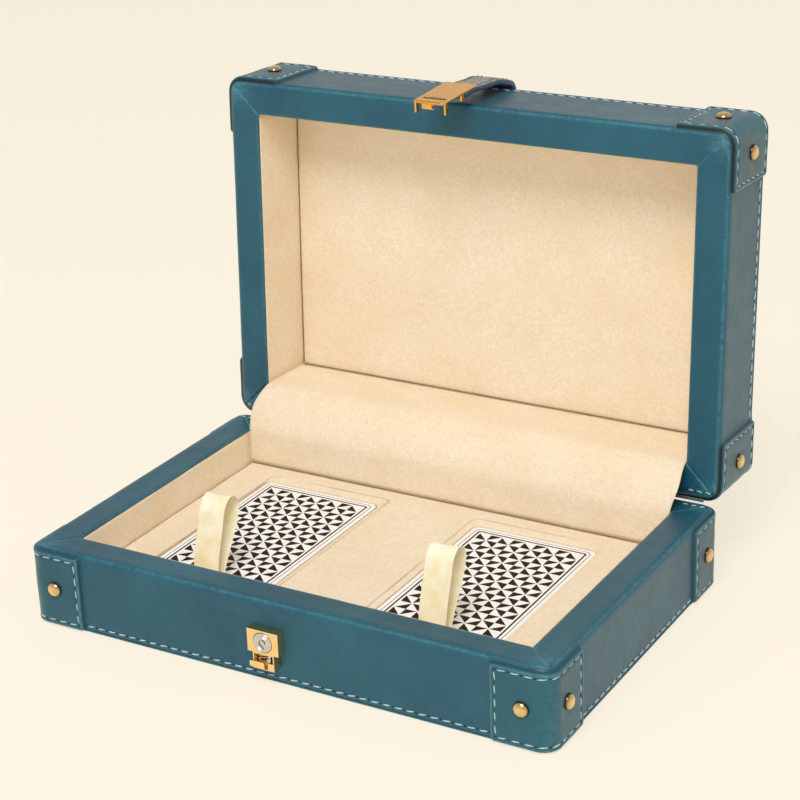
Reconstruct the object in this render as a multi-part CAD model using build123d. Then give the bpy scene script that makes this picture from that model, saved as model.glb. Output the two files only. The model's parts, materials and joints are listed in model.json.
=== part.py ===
"""A leather-covered card box: a tray with two decks in sunk wells, and a hinged lid with a strap clasp.

Millimetres. The origin is the centre of the tray's underside, +X to the right, +Y to the back, +Z up.
The lid and its strap are modelled closed and then turned open about the hinge cord.
"""

from build123d import *
import math
import os

# ---------------------------------------------------------------- driving dimensions
# outside of the box, over the leather
BOX_WIDTH = 235.0
BOX_DEPTH = 154.5
BASE_HEIGHT = 34.5
LID_HEIGHT = 36.5
CORNER_RADIUS = 6.0
LID_GAP = 0.8  # between the two rims at the hinge
OPEN_ANGLE = 92.4

# wall build-up, from the outside in
LEATHER = 1.2
WALL_BOARD = 12.5
SUEDE = 0.8
RIM_ROUND = 2.4  # outer edge of each rim

# tray floor and lid ceiling
BASE_BOARD = 2.0
LID_BOARD = 2.6
LID_PAD = 2.2

# the platform with the two wells
INSERT_CLEARANCE = 0.3
WELL_SIDE_PLAY = 3.8
WELL_RADIUS = 3.0
WELL_SPACING = 41.4  # the strip of platform between the two wells
WELL_SHIFT = -3.8  # the pair sits a little left of the middle
WELL_BACK_STRIP = 8.5
WELL_PAD = 0.6
WELL_OVER_DECK = 1.32  # how far each deck lies below the platform's top

# cards
CARD_WIDTH = 57.2
CARD_LENGTH = 88.9
CARD_RADIUS = 3.5
CARD_THICKNESS = 0.24
CARD_COUNT = 51
DECK_SIDE_SHIFT = 1.4  # each deck lies against the outer side of its well
DECK_BACK_GAP = 5.2
DECK_FRONT_GAP = 5.9

# pull ribbons
RIBBON_WIDTH = 12.0
RIBBON_THICKNESS = 0.4
RIBBON_UNDER = 40.0  # how far it runs back under the deck
RIBBON_UNDER_LID = 15.8  # room over the loop, with the lid closed
RIBBON_LOOP_RADIUS = 4.5
RIBBON_LOOP_LEAN = 9.0  # how far the top of the loop leans back over the deck
RIBBON_SHIFT = 1.9  # from the middle of the deck
RIBBON_SLOT = 3.6  # between the loop's two legs where they leave the well

# corner caps and their rivets
CAP_LENGTH = 24.5
CAP_THICKNESS = 1.4
CAP_FOOT = 0.4
CAP_BELOW_RIM = 1.4
RIVET_DOME_RADIUS = 3.2
RIVET_DOME_HEIGHT = 1.8
RIVET_SHANK_RADIUS = 1.1
RIVET_SHANK_LENGTH = 6.0
RIVET_HOLE_PLAY = 0.02
RIVET_FROM_CORNER = 11.5
RIVET_HEIGHT = 17.0  # from the outer face of its half

# leather hinge
HINGE_LEAF_HEIGHT = 13.0
HINGE_LEAF_SETBACK = 0.8
HINGE_CORD_RADIUS = 0.6
HINGE_END_SPACE = 1.5  # between the hinge leaves and the corner caps
GUSSET_BULGE = 2.2
GUSSET_LEG = 12.0  # how far it lies on each back wall

# lock on the tray's front
CLASP_SHIFT = -3.0
LOCK_WIDTH = 14.1
LOCK_BELOW_RIM = 10.5
LOCK_HEAD_HEIGHT = 9.9
LOCK_STEM_WIDTH = 9.6
LOCK_STEM_HEIGHT = 7.0
LOCK_PROUD = 4.4
LOCK_BACK = 0.8  # metal left behind the barrel, pocket and slide
BARREL_RADIUS = 4.2
BARREL_PROUD = 0.3
BARREL_BELOW_TOP = 5.1
RUNNING_PLAY = 0.1
KEYHOLE_RADIUS = 1.5
KEYHOLE_DEPTH = 1.2
POCKET_BELOW_SHOULDER = 0.5
POCKET_HALF = 4.2
SLIDE_OVER_BOTTOM = 0.5
SLIDE_HEIGHT = 2.7
SLIDE_REACH = 6.4  # how far the thumb tab stands left of the middle
SLIDE_TAB_END = 0.4
SLIDE_PROUD = 0.3
SLIDE_TRAVEL = 1.2
HOOK_FROM = 2.0
HOOK_THICKNESS = 0.9
HOOK_NOSE = 0.8
NOSE_DEPTH = 1.35  # back of the nose, under the lock's face
NOSE_COVER = 0.65  # front of the nose, under the lock's face

# hasp and strap on the lid's front
HASP_WIDTH = 14.5
HASP_METAL = 0.9
HASP_LENGTH = 27.5
HASP_OVER_SLIDE = 0.6  # from the slide up to its lower end, when the lid is closed
HASP_OVER_LOCK = 0.5
HASP_SLOPE = 5.0
HASP_LEG = 2.4
HASP_LEG_FOOT = 0.5  # clearance of the legs over the leather
HASP_REAR_LEG = 2.1
HASP_FLANGE = 3.4
LIP_LEFT = -3.8
LIP_RIGHT = 1.8
LIP_FOOT = 2.3
LIP_SLOT = 1.0
SLOT_LENGTH = 10.5
SLOT_WIDTH = 1.9
SLOT_FROM_FRONT = 4.4
CATCH_THICKNESS = 0.3
STRAP_WIDTH = 14.0
STRAP_THICKNESS = 2.6
STRAP_ON_TOP = 21.0
STRAP_BEND_BACK = 1.8  # centre of the bend, behind the front face
STRAP_BEND_DOWN = 2.55  # and under the top face
STRAP_OVER_EDGE = 0.25
STRAP_FLEX_DROP = 3.6  # from the top down to the line where the strap flexes
STRAP_SPLIT = 0.3
STRAP_ARCH_DROP = 14.5
STRAP_ARCH = 6.9  # how far its outer face stands off there
STRAP_UNDER_HASP = 11.5

# ---------------------------------------------------------------- worked out from those
RIM_WIDTH = LEATHER + WALL_BOARD + SUEDE
HALF_WIDTH = BOX_WIDTH / 2
HALF_DEPTH = BOX_DEPTH / 2
FRONT = -HALF_DEPTH
INNER_HALF_WIDTH = HALF_WIDTH - RIM_WIDTH
INNER_HALF_DEPTH = HALF_DEPTH - RIM_WIDTH
FLOOR = LEATHER + BASE_BOARD
LID_RIM = BASE_HEIGHT + LID_GAP
LID_TOP = LID_RIM + LID_HEIGHT
LID_CEILING = LID_TOP - LEATHER - LID_BOARD
HINGE_Y = HALF_DEPTH + LEATHER / 2
HINGE_Z = BASE_HEIGHT + LID_GAP / 2
HINGE_LINE = Axis((0, HINGE_Y, HINGE_Z), (1, 0, 0))
DECK_BOTTOM = FLOOR + WELL_PAD + RIBBON_THICKNESS
DECK_TOP = DECK_BOTTOM + (CARD_COUNT + 1) * CARD_THICKNESS
INSERT_HEIGHT = DECK_TOP + WELL_OVER_DECK - FLOOR
WELL_WIDTH = CARD_WIDTH + WELL_SIDE_PLAY
WELL_LENGTH = CARD_LENGTH + DECK_BACK_GAP + DECK_FRONT_GAP
WELL_PITCH = WELL_WIDTH + WELL_SPACING
RIBBON_LOOP_TOP = LID_CEILING - LID_PAD - RIBBON_UNDER_LID
LOCK_TOP = BASE_HEIGHT - LOCK_BELOW_RIM
LOCK_SHOULDER = LOCK_TOP - LOCK_HEAD_HEIGHT
LOCK_BOTTOM = LOCK_SHOULDER - LOCK_STEM_HEIGHT
BARREL_CENTRE = LOCK_TOP - BARREL_BELOW_TOP
POCKET_TOP = LOCK_SHOULDER - POCKET_BELOW_SHOULDER
SLIDE_BOTTOM = LOCK_BOTTOM + SLIDE_OVER_BOTTOM
HASP_FRONT = SLIDE_BOTTOM + SLIDE_HEIGHT + HASP_OVER_SLIDE
DECK_BACK = INNER_HALF_DEPTH - WELL_BACK_STRIP - DECK_BACK_GAP
DECK_FRONT = DECK_BACK - CARD_LENGTH
TONGUE_PROUD = LOCK_PROUD / 2
HASP_FACE = LOCK_PROUD + HASP_OVER_LOCK + HASP_METAL
NOSE_PROUD = (LOCK_PROUD - NOSE_DEPTH, LOCK_PROUD - NOSE_COVER)
LEVEL_TOLERANCE = 1e-4
SIDES = {"left": -1, "right": 1}
CORNERS = {
    "front_left": (-1, -1),
    "front_right": (1, -1),
    "back_left": (-1, 1),
    "back_right": (1, 1),
}


# ---------------------------------------------------------------- helpers
def block(low, high):
    """A box from its lowest corner to its highest one."""
    size = [b - a for a, b in zip(low, high)]
    return Pos(*[(a + b) / 2 for a, b in zip(low, high)]) * Box(*size)


def rounded_block(half_x, half_y, radius, bottom, top):
    """An upright block with rounded vertical corners, centred on the Z axis."""
    outline = RectangleRounded(2 * half_x, 2 * half_y, radius)
    return Pos(0, 0, bottom) * extrude(outline, top - bottom)


def side_profile(points_and_arcs, centre_x, width):
    """A solid of one side outline, drawn in (y, z), and made as wide as given along X."""
    outline = make_face(points_and_arcs)
    return Pos(centre_x - width / 2, 0, 0) * extrude(Plane.YZ * outline, width)


def half_box(prefix, height, board):
    """One half of the box with its outer face on z = 0 and its rim at the given height."""
    wall_foot = LEATHER + board
    board_top = height - LEATHER
    core_x, core_y = HALF_WIDTH - LEATHER, HALF_DEPTH - LEATHER
    core_radius = CORNER_RADIUS - LEATHER
    clear_x, clear_y = INNER_HALF_WIDTH + SUEDE, INNER_HALF_DEPTH + SUEDE

    parts = {}
    outer = "bottom" if prefix == "base" else "top"
    parts[f"{prefix}_{outer}_leather"] = rounded_block(HALF_WIDTH, HALF_DEPTH, CORNER_RADIUS, 0, LEATHER)
    parts[f"{prefix}_{outer}_board"] = rounded_block(core_x, core_y, core_radius, LEATHER, wall_foot)

    frame = rounded_block(core_x, core_y, core_radius, wall_foot, board_top)
    far = 2 * HALF_WIDTH
    parts[f"{prefix}_front_board"] = frame & block((-far, -far, 0), (far, -clear_y, far))
    parts[f"{prefix}_back_board"] = frame & block((-far, clear_y, 0), (far, far, far))
    parts[f"{prefix}_left_board"] = frame & block((-far, -clear_y, 0), (-clear_x, clear_y, far))
    parts[f"{prefix}_right_board"] = frame & block((clear_x, -clear_y, 0), (far, clear_y, far))

    skin = rounded_block(HALF_WIDTH, HALF_DEPTH, CORNER_RADIUS, LEATHER, height)
    skin = fillet(edges_at(skin, height), RIM_ROUND)
    skin -= rounded_block(core_x, core_y, core_radius, LEATHER, board_top)
    mouth = block((-INNER_HALF_WIDTH, -INNER_HALF_DEPTH, board_top), (INNER_HALF_WIDTH, INNER_HALF_DEPTH, height))
    parts[f"{prefix}_side_leather"] = skin - mouth

    walls = {
        "front": ((-INNER_HALF_WIDTH, -clear_y), (INNER_HALF_WIDTH, -INNER_HALF_DEPTH)),
        "back": ((-INNER_HALF_WIDTH, INNER_HALF_DEPTH), (INNER_HALF_WIDTH, clear_y)),
        "left": ((-clear_x, -clear_y), (-INNER_HALF_WIDTH, clear_y)),
        "right": ((INNER_HALF_WIDTH, -clear_y), (clear_x, clear_y)),
    }
    for side, (low, high) in walls.items():
        parts[f"{prefix}_lining_{side}"] = block((*low, wall_foot), (*high, board_top))

    cap_ring = rounded_block(HALF_WIDTH + CAP_THICKNESS, HALF_DEPTH + CAP_THICKNESS,
                             CORNER_RADIUS + CAP_THICKNESS, CAP_FOOT, height - CAP_BELOW_RIM)
    cap_ring -= rounded_block(HALF_WIDTH, HALF_DEPTH, CORNER_RADIUS, 0, height)
    rivets, holes = [], []
    for corner, (x, y) in CORNERS.items():
        inner = (x * (HALF_WIDTH - CAP_LENGTH), y * (HALF_DEPTH - CAP_LENGTH), 0)
        outer_point = (x * far, y * far, far)
        low = [min(a, b) for a, b in zip(inner, outer_point)]
        high = [max(a, b) for a, b in zip(inner, outer_point)]
        parts[f"{prefix}_cap_{corner}"] = cap_ring & block(low, high)
        along_x = (x * (HALF_WIDTH - RIVET_FROM_CORNER), y * (HALF_DEPTH + CAP_THICKNESS), RIVET_HEIGHT)
        along_y = (x * (HALF_WIDTH + CAP_THICKNESS), y * (HALF_DEPTH - RIVET_FROM_CORNER), RIVET_HEIGHT)
        for place in (Plane(along_x, z_dir=(0, y, 0)), Plane(along_y, z_dir=(x, 0, 0))):
            rivets.append(place * rivet())
            holes.append(place * rivet_hole())
    parts[f"{prefix}_rivets"] = Compound(rivets)

    drilled = ["side_leather", "front_board", "back_board"] + [f"cap_{corner}" for corner in CORNERS]
    for name in drilled:
        solid = parts[f"{prefix}_{name}"]
        for hole in holes:
            if near(solid, hole):
                solid -= hole
        parts[f"{prefix}_{name}"] = solid
    return parts


def edges_at(solid, height):
    """The edges of a solid that lie at one height."""
    level = []
    for edge in solid.edges():
        box = edge.bounding_box()
        if max(abs(box.min.Z - height), abs(box.max.Z - height)) < LEVEL_TOLERANCE:
            level.append(edge)
    return level


def near(a, b):
    """Whether two solids' boxes meet."""
    box_a, box_b = a.bounding_box(), b.bounding_box()
    return all(
        getattr(box_a.min, k) <= getattr(box_b.max, k) and getattr(box_b.min, k) <= getattr(box_a.max, k)
        for k in "XYZ"
    )


def rivet():
    """A domed rivet whose dome stands on the local z = 0 plane and whose shank goes down."""
    half = make_face([
        Line((0, -RIVET_SHANK_LENGTH), (RIVET_SHANK_RADIUS, -RIVET_SHANK_LENGTH)),
        Line((RIVET_SHANK_RADIUS, -RIVET_SHANK_LENGTH), (RIVET_SHANK_RADIUS, 0)),
        Line((RIVET_SHANK_RADIUS, 0), (RIVET_DOME_RADIUS, 0)),
        dome_arc(),
        Line((0, RIVET_DOME_HEIGHT), (0, -RIVET_SHANK_LENGTH)),
    ])
    return revolve(Plane.XZ * half, Axis.Z)


def dome_arc():
    """The dome's outline, a part of a circle that is level at the top."""
    ball = (RIVET_DOME_RADIUS ** 2 + RIVET_DOME_HEIGHT ** 2) / (2 * RIVET_DOME_HEIGHT)
    middle = RIVET_DOME_RADIUS / 2
    rise = RIVET_DOME_HEIGHT - ball + math.sqrt(ball ** 2 - middle ** 2)
    return ThreePointArc((RIVET_DOME_RADIUS, 0), (middle, rise), (0, RIVET_DOME_HEIGHT))


def rivet_hole():
    """What is drilled for one rivet's shank."""
    drill = Cylinder(RIVET_SHANK_RADIUS + RIVET_HOLE_PLAY, RIVET_SHANK_LENGTH + RIVET_HOLE_PLAY,
                     align=(Align.CENTER, Align.CENTER, Align.MAX))
    return drill


# ---------------------------------------------------------------- inside of the tray
def card_insert():
    """The suede-covered platform with one rounded well for each deck."""
    half_x, half_y = INNER_HALF_WIDTH - INSERT_CLEARANCE, INNER_HALF_DEPTH - INSERT_CLEARANCE
    platform = block((-half_x, -half_y, FLOOR), (half_x, half_y, FLOOR + INSERT_HEIGHT))
    for side in SIDES:
        platform -= well_block(side, WELL_WIDTH, WELL_LENGTH, WELL_RADIUS, INSERT_HEIGHT)
    return platform


def well_middle(side):
    """The middle of one well, seen from above."""
    return WELL_SHIFT + SIDES[side] * WELL_PITCH / 2, INNER_HALF_DEPTH - WELL_BACK_STRIP - WELL_LENGTH / 2


def well_block(side, width, length, radius, height):
    """A rounded block that stands on the floor in the middle of one well."""
    x, y = well_middle(side)
    return Pos(x, y, 0) * rounded_block(width / 2, length / 2, radius, FLOOR, FLOOR + height)


def deck_middle(side):
    """The middle of one deck, seen from above."""
    return well_middle(side)[0] + SIDES[side] * DECK_SIDE_SHIFT, (DECK_BACK + DECK_FRONT) / 2


def cards(side, bottom, top):
    """A stack of cards between two heights."""
    x, y = deck_middle(side)
    return Pos(x, y, 0) * rounded_block(CARD_WIDTH / 2, CARD_LENGTH / 2, CARD_RADIUS, bottom, top)


def pull_ribbon(side):
    """A ribbon that lies under the deck and stands up as a loop at its front end."""
    rise = DECK_FRONT - RIBBON_SLOT / 4
    fall = rise - RIBBON_SLOT
    bottom = FLOOR + WELL_PAD + RIBBON_THICKNESS / 2
    neck = DECK_TOP + RIBBON_THICKNESS
    crown = RIBBON_LOOP_TOP - RIBBON_LOOP_RADIUS
    middle = rise + RIBBON_LOOP_LEAN
    half_way = (neck + crown) / 2
    back_of_loop, front_of_loop = (middle + RIBBON_LOOP_RADIUS, crown), (middle - RIBBON_LOOP_RADIUS, crown)
    path = [
        Line((DECK_FRONT + RIBBON_UNDER, bottom), (rise, bottom)),
        Line((rise, bottom), (rise, neck)),
        ThreePointArc((rise, neck), (rise + RIBBON_LOOP_LEAN, half_way), back_of_loop),
        ThreePointArc(back_of_loop, (middle, RIBBON_LOOP_TOP), front_of_loop),
        ThreePointArc(front_of_loop, (middle - RIBBON_LOOP_RADIUS - RIBBON_LOOP_LEAN / 2, half_way), (fall, neck)),
        Line((fall, neck), (fall, bottom)),
    ]
    band = trace(Curve() + path, RIBBON_THICKNESS)
    x = deck_middle(side)[0] + RIBBON_SHIFT - RIBBON_WIDTH / 2
    return Pos(x, 0, 0) * extrude(Plane.YZ * band, RIBBON_WIDTH)


# ---------------------------------------------------------------- lock on the tray's front
def front_block(x_range, z_range, proud_range):
    """A block on the tray's front: X from the clasp's middle, heights, and how far it stands off."""
    low = (CLASP_SHIFT + x_range[0], FRONT - proud_range[1], z_range[0])
    high = (CLASP_SHIFT + x_range[1], FRONT - proud_range[0], z_range[1])
    return block(low, high)


def front_disc(radius, height, proud_range):
    """A round piece on the tray's front, with its axis along Y."""
    place = Plane((CLASP_SHIFT, FRONT - proud_range[0], height), z_dir=(0, -1, 0))
    return place * Cylinder(radius, proud_range[1] - proud_range[0], align=(Align.CENTER, Align.CENTER, Align.MIN))


def lock_body():
    """A wide head over a narrow stem, hollowed for the barrel, the lip, the hook and the slide."""
    wide, stem = LOCK_WIDTH / 2, LOCK_STEM_WIDTH / 2
    body = front_block((-wide, wide), (LOCK_SHOULDER, LOCK_TOP), (0, LOCK_PROUD))
    body += front_block((-stem, stem), (LOCK_BOTTOM, LOCK_SHOULDER), (0, LOCK_PROUD))
    body -= front_disc(BARREL_RADIUS + RUNNING_PLAY, BARREL_CENTRE, (LOCK_BACK, LOCK_PROUD))
    slide_top = SLIDE_BOTTOM + SLIDE_HEIGHT + RUNNING_PLAY
    slide_foot = SLIDE_BOTTOM - RUNNING_PLAY
    body -= front_block((-POCKET_HALF, POCKET_HALF), (slide_top, POCKET_TOP), (LOCK_BACK, LOCK_PROUD))
    mouth = SLIDE_TAB_END + SLIDE_TRAVEL + 2 * RUNNING_PLAY
    body -= front_block((-wide, mouth), (slide_foot, slide_top), (LOCK_BACK, LOCK_PROUD))
    body -= front_block((-wide, POCKET_HALF), (slide_foot, slide_top), (LOCK_BACK, TONGUE_PROUD + RUNNING_PLAY))
    return body


def lock_barrel():
    """The round barrel, with a keyhole that has a flat slot through it."""
    barrel = front_disc(BARREL_RADIUS, BARREL_CENTRE, (LOCK_BACK, LOCK_PROUD + BARREL_PROUD))
    face = LOCK_PROUD + BARREL_PROUD
    barrel -= front_disc(KEYHOLE_RADIUS, BARREL_CENTRE, (face - KEYHOLE_DEPTH, face))
    slot = (BARREL_CENTRE - 2 * KEYHOLE_RADIUS, BARREL_CENTRE)
    barrel -= front_block((-KEYHOLE_RADIUS / 3, KEYHOLE_RADIUS / 3), slot, (face - KEYHOLE_DEPTH, face))
    return barrel


def release_slide():
    """The thumb slide: a tab that stands out on the left and a tongue that runs behind the stem's right side."""
    heights = (SLIDE_BOTTOM, SLIDE_BOTTOM + SLIDE_HEIGHT)
    back = LOCK_BACK + RUNNING_PLAY
    tab = front_block((-SLIDE_REACH, SLIDE_TAB_END), heights, (back, LOCK_PROUD + SLIDE_PROUD))
    free_end = tab.edges().filter_by(Axis.Y).sort_by(Axis.X)[:2]
    tab = fillet(free_end, SLIDE_HEIGHT / 3)
    tongue = front_block((SLIDE_TAB_END, HOOK_FROM + HOOK_THICKNESS), heights, (back, TONGUE_PROUD))
    return tab + tongue


def latch_hook():
    """The steel hook on the slide, whose nose reaches into the lip's slot."""
    back = LOCK_BACK + RUNNING_PLAY
    foot = SLIDE_BOTTOM + SLIDE_HEIGHT
    upright = (HOOK_FROM, HOOK_FROM + HOOK_THICKNESS)
    hook = front_block(upright, (foot, foot + 2 * RUNNING_PLAY), (back, TONGUE_PROUD))
    hook += front_block(upright, (foot + 2 * RUNNING_PLAY, POCKET_TOP - 3 * RUNNING_PLAY), (back, NOSE_PROUD[1]))
    nose = (HOOK_FROM - HOOK_NOSE, HOOK_FROM)
    hook += front_block(nose, (HASP_FRONT, HASP_FRONT + HASP_METAL), NOSE_PROUD)
    return hook


# ---------------------------------------------------------------- hasp and strap, with the lid closed
def tilted(solid):
    """Leans a piece of the hasp out at its upper end, about its lower outer edge."""
    return solid.rotate(Axis((0, FRONT - HASP_FACE, HASP_FRONT), (1, 0, 0)), HASP_SLOPE)


def hasp_plate():
    """A brass cover plate with two pairs of legs at its sides and a slotted lip at its lower end."""
    half = HASP_WIDTH / 2
    under = HASP_FACE - HASP_METAL
    plate = front_block((-half, half), (HASP_FRONT, HASP_FRONT + HASP_LENGTH), (under, HASP_FACE))
    slot_middle = HASP_FRONT + SLOT_FROM_FRONT
    slot = (slot_middle - SLOT_WIDTH / 2, slot_middle + SLOT_WIDTH / 2)
    plate -= front_block((-SLOT_LENGTH / 2, SLOT_LENGTH / 2), slot, (under, HASP_FACE))
    rear = HASP_FRONT + HASP_LENGTH - STRAP_UNDER_HASP - HASP_REAR_LEG
    for side in SIDES.values():
        across = sorted((side * half, side * (half - HASP_METAL)))
        plate += front_block(across, (HASP_FRONT, HASP_FRONT + HASP_LEG), (HASP_LEG_FOOT, under))
        plate += front_block(across, (rear, rear + HASP_REAR_LEG), (HASP_FACE - HASP_FLANGE, under))
    lip = front_block((LIP_LEFT, LIP_RIGHT), (HASP_FRONT, HASP_FRONT + HASP_METAL), (LIP_FOOT, under))
    lip -= front_block((LIP_RIGHT - LIP_SLOT, LIP_RIGHT), (HASP_FRONT, HASP_FRONT + HASP_METAL),
                       (NOSE_PROUD[0] - 2 * RUNNING_PLAY, NOSE_PROUD[1] + 3 * RUNNING_PLAY))
    plate += lip
    return tilted(plate)


def hasp_catch():
    """The steel leaf behind the hasp's slot."""
    under = HASP_FACE - HASP_METAL
    reach = SLOT_LENGTH / 2 + HASP_METAL / 2
    middle = HASP_FRONT + SLOT_FROM_FRONT
    leaf = front_block((-reach, reach), (middle - SLOT_WIDTH, middle + SLOT_WIDTH), (under - CATCH_THICKNESS, under))
    return tilted(leaf)


def hasp_point(off_front, up):
    """Where a point of the hasp lies in (y, z), from how far it stands off and its way up the plate."""
    lean = math.radians(HASP_SLOPE)
    inward = HASP_FACE - off_front
    y = FRONT - HASP_FACE + inward * math.cos(lean) - up * math.sin(lean)
    z = HASP_FRONT + inward * math.sin(lean) + up * math.cos(lean)
    return y, z


def strap_bend(radius, height):
    """The y of the strap's bend, on its front side, at one height under the lid's top."""
    rise = STRAP_BEND_DOWN - height
    return FRONT + STRAP_BEND_BACK - math.sqrt(radius ** 2 - rise ** 2)


def strap_root():
    """The strap's fixed end: along the lid's top and down over its front edge."""
    inner = math.hypot(STRAP_BEND_BACK, STRAP_BEND_DOWN) + STRAP_OVER_EDGE
    outer = inner + STRAP_THICKNESS
    centre = (FRONT + STRAP_BEND_BACK, LID_TOP - STRAP_BEND_DOWN)
    top_inner = (centre[0] + math.sqrt(inner ** 2 - STRAP_BEND_DOWN ** 2), LID_TOP)
    rise = STRAP_BEND_DOWN + STRAP_THICKNESS
    top_outer = (centre[0] + math.sqrt(outer ** 2 - rise ** 2), LID_TOP + STRAP_THICKNESS)
    foot_inner = (strap_bend(inner, STRAP_FLEX_DROP), LID_TOP - STRAP_FLEX_DROP)
    foot_outer = (strap_bend(outer, STRAP_FLEX_DROP), LID_TOP - STRAP_FLEX_DROP)
    end = FRONT + STRAP_ON_TOP

    def crown(radius):
        return centre[0] - radius / math.sqrt(2), centre[1] + radius / math.sqrt(2)

    outline = [
        Line((end, LID_TOP), top_inner),
        ThreePointArc(top_inner, crown(inner), foot_inner),
        Line(foot_inner, foot_outer),
        ThreePointArc(foot_outer, crown(outer), top_outer),
        Line(top_outer, (end, LID_TOP + STRAP_THICKNESS)),
        Line((end, LID_TOP + STRAP_THICKNESS), (end, LID_TOP)),
    ]
    return side_profile(outline, CLASP_SHIFT, STRAP_WIDTH)


def strap_flap():
    """The strap's loose end, arched down to the hasp and tucked under its plate."""
    inner = math.hypot(STRAP_BEND_BACK, STRAP_BEND_DOWN) + STRAP_OVER_EDGE
    outer = inner + STRAP_THICKNESS
    top = LID_TOP - STRAP_FLEX_DROP - STRAP_SPLIT
    start_inner = (strap_bend(inner, STRAP_FLEX_DROP), top)
    start_outer = (strap_bend(outer, STRAP_FLEX_DROP), top)
    arch = LID_TOP - STRAP_ARCH_DROP
    under = HASP_FACE - HASP_METAL
    rear_outer = hasp_point(under, HASP_LENGTH)
    rear_inner = hasp_point(under - STRAP_THICKNESS, HASP_LENGTH)
    end_outer = hasp_point(under, HASP_LENGTH - STRAP_UNDER_HASP + STRAP_SPLIT)
    end_inner = hasp_point(under - STRAP_THICKNESS, HASP_LENGTH - STRAP_UNDER_HASP + STRAP_SPLIT)
    outline = [
        ThreePointArc(start_outer, (FRONT - STRAP_ARCH, arch), rear_outer),
        Line(rear_outer, end_outer),
        Line(end_outer, end_inner),
        Line(end_inner, rear_inner),
        ThreePointArc(rear_inner, (FRONT - STRAP_ARCH + STRAP_THICKNESS, arch), start_inner),
        Line(start_inner, start_outer),
    ]
    return side_profile(outline, CLASP_SHIFT, STRAP_WIDTH)


# ---------------------------------------------------------------- leather hinge
def hinge_leaf(bottom, top):
    """A leather strip along the box's back, between the corner caps."""
    half = HALF_WIDTH - CAP_LENGTH - HINGE_END_SPACE
    return block((-half, HALF_DEPTH, bottom), (half, HALF_DEPTH + LEATHER, top))


def hinge_cord():
    """The cord inside the fold, which the lid turns about."""
    length = BOX_WIDTH - 2 * CORNER_RADIUS
    return Plane((0, HINGE_Y, HINGE_Z), z_dir=(1, 0, 0)) * Cylinder(HINGE_CORD_RADIUS, length)


def opened(y, z):
    """Where a (y, z) point of the closed lid lies when the lid stands open."""
    turn = math.radians(-OPEN_ANGLE)
    dy, dz = y - HINGE_Y, z - HINGE_Z
    return HINGE_Y + dy * math.cos(turn) - dz * math.sin(turn), HINGE_Z + dy * math.sin(turn) + dz * math.cos(turn)


def hinge_gusset():
    """The suede flap inside the hinge, from the tray's back wall over to the lid's."""
    def face(depth, bulge):
        y = INNER_HALF_DEPTH - depth
        foot = (y, BASE_HEIGHT - GUSSET_LEG)
        base_edge = (y, BASE_HEIGHT + RUNNING_PLAY)
        lid_edge = opened(y, LID_RIM - RUNNING_PLAY)
        head = opened(y, LID_RIM + GUSSET_LEG)
        chord = (lid_edge[0] - base_edge[0], lid_edge[1] - base_edge[1])
        span = math.hypot(*chord)
        middle = (
            (base_edge[0] + lid_edge[0]) / 2 - chord[1] / span * bulge,
            (base_edge[1] + lid_edge[1]) / 2 + chord[0] / span * bulge,
        )
        return foot, base_edge, middle, lid_edge, head

    a = face(RUNNING_PLAY / 2, GUSSET_BULGE)
    b = face(RUNNING_PLAY / 2 + SUEDE, GUSSET_BULGE)
    outline = [
        Line(a[0], a[1]), ThreePointArc(a[1], a[2], a[3]), Line(a[3], a[4]),
        Line(a[4], b[4]),
        Line(b[4], b[3]), ThreePointArc(b[3], b[2], b[1]), Line(b[1], b[0]),
        Line(b[0], a[0]),
    ]
    return side_profile(outline, 0, 2 * (INNER_HALF_WIDTH - INSERT_CLEARANCE))


# ---------------------------------------------------------------- the whole box
def tray():
    parts = half_box("base", BASE_HEIGHT, BASE_BOARD)
    parts["card_insert"] = card_insert()
    for side in SIDES:
        parts[f"well_pad_{side}"] = well_block(
            side, WELL_WIDTH - 2 * INSERT_CLEARANCE, WELL_LENGTH - 2 * INSERT_CLEARANCE, WELL_RADIUS, WELL_PAD)
        parts[f"deck_{side}_stack"] = cards(side, DECK_BOTTOM, DECK_TOP - CARD_THICKNESS)
        parts[f"deck_{side}_top_card"] = cards(side, DECK_TOP - CARD_THICKNESS, DECK_TOP)
        parts[f"pull_ribbon_{side}"] = pull_ribbon(side)
    parts["lock_body"] = lock_body()
    parts["lock_barrel"] = lock_barrel()
    parts["release_slide"] = release_slide()
    parts["latch_hook"] = latch_hook()
    leaf_top = HINGE_Z - HINGE_LEAF_SETBACK
    parts["hinge_leaf_base"] = hinge_leaf(leaf_top - HINGE_LEAF_HEIGHT, leaf_top)
    parts["hinge_cord"] = hinge_cord()
    parts["hinge_gusset"] = hinge_gusset()
    return parts


def lid():
    """The lid and its clasp, closed over the tray."""
    upside_down = half_box("lid", LID_HEIGHT, LID_BOARD)
    parts = {name: Pos(0, 0, LID_TOP) * mirror(solid, about=Plane.XY) for name, solid in upside_down.items()}
    half_x, half_y = INNER_HALF_WIDTH - INSERT_CLEARANCE, INNER_HALF_DEPTH - INSERT_CLEARANCE
    parts["lid_panel"] = block((-half_x, -half_y, LID_CEILING - LID_PAD), (half_x, half_y, LID_CEILING))
    leaf_bottom = HINGE_Z + HINGE_LEAF_SETBACK
    parts["hinge_leaf_lid"] = hinge_leaf(leaf_bottom, leaf_bottom + HINGE_LEAF_HEIGHT)
    parts["strap_root"] = strap_root()
    parts["strap_flap"] = strap_flap()
    parts["hasp_plate"] = hasp_plate()
    parts["hasp_catch"] = hasp_catch()
    return parts


def box():
    """Every piece in its place, with the lid open."""
    parts = tray()
    for name, solid in lid().items():
        parts[name] = solid.rotate(HINGE_LINE, -OPEN_ANGLE)
    return parts


if __name__ == "__main__":
    os.makedirs("parts", exist_ok=True)
    for name, solid in box().items():
        export_step(solid, f"parts/{name}.step")
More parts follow.
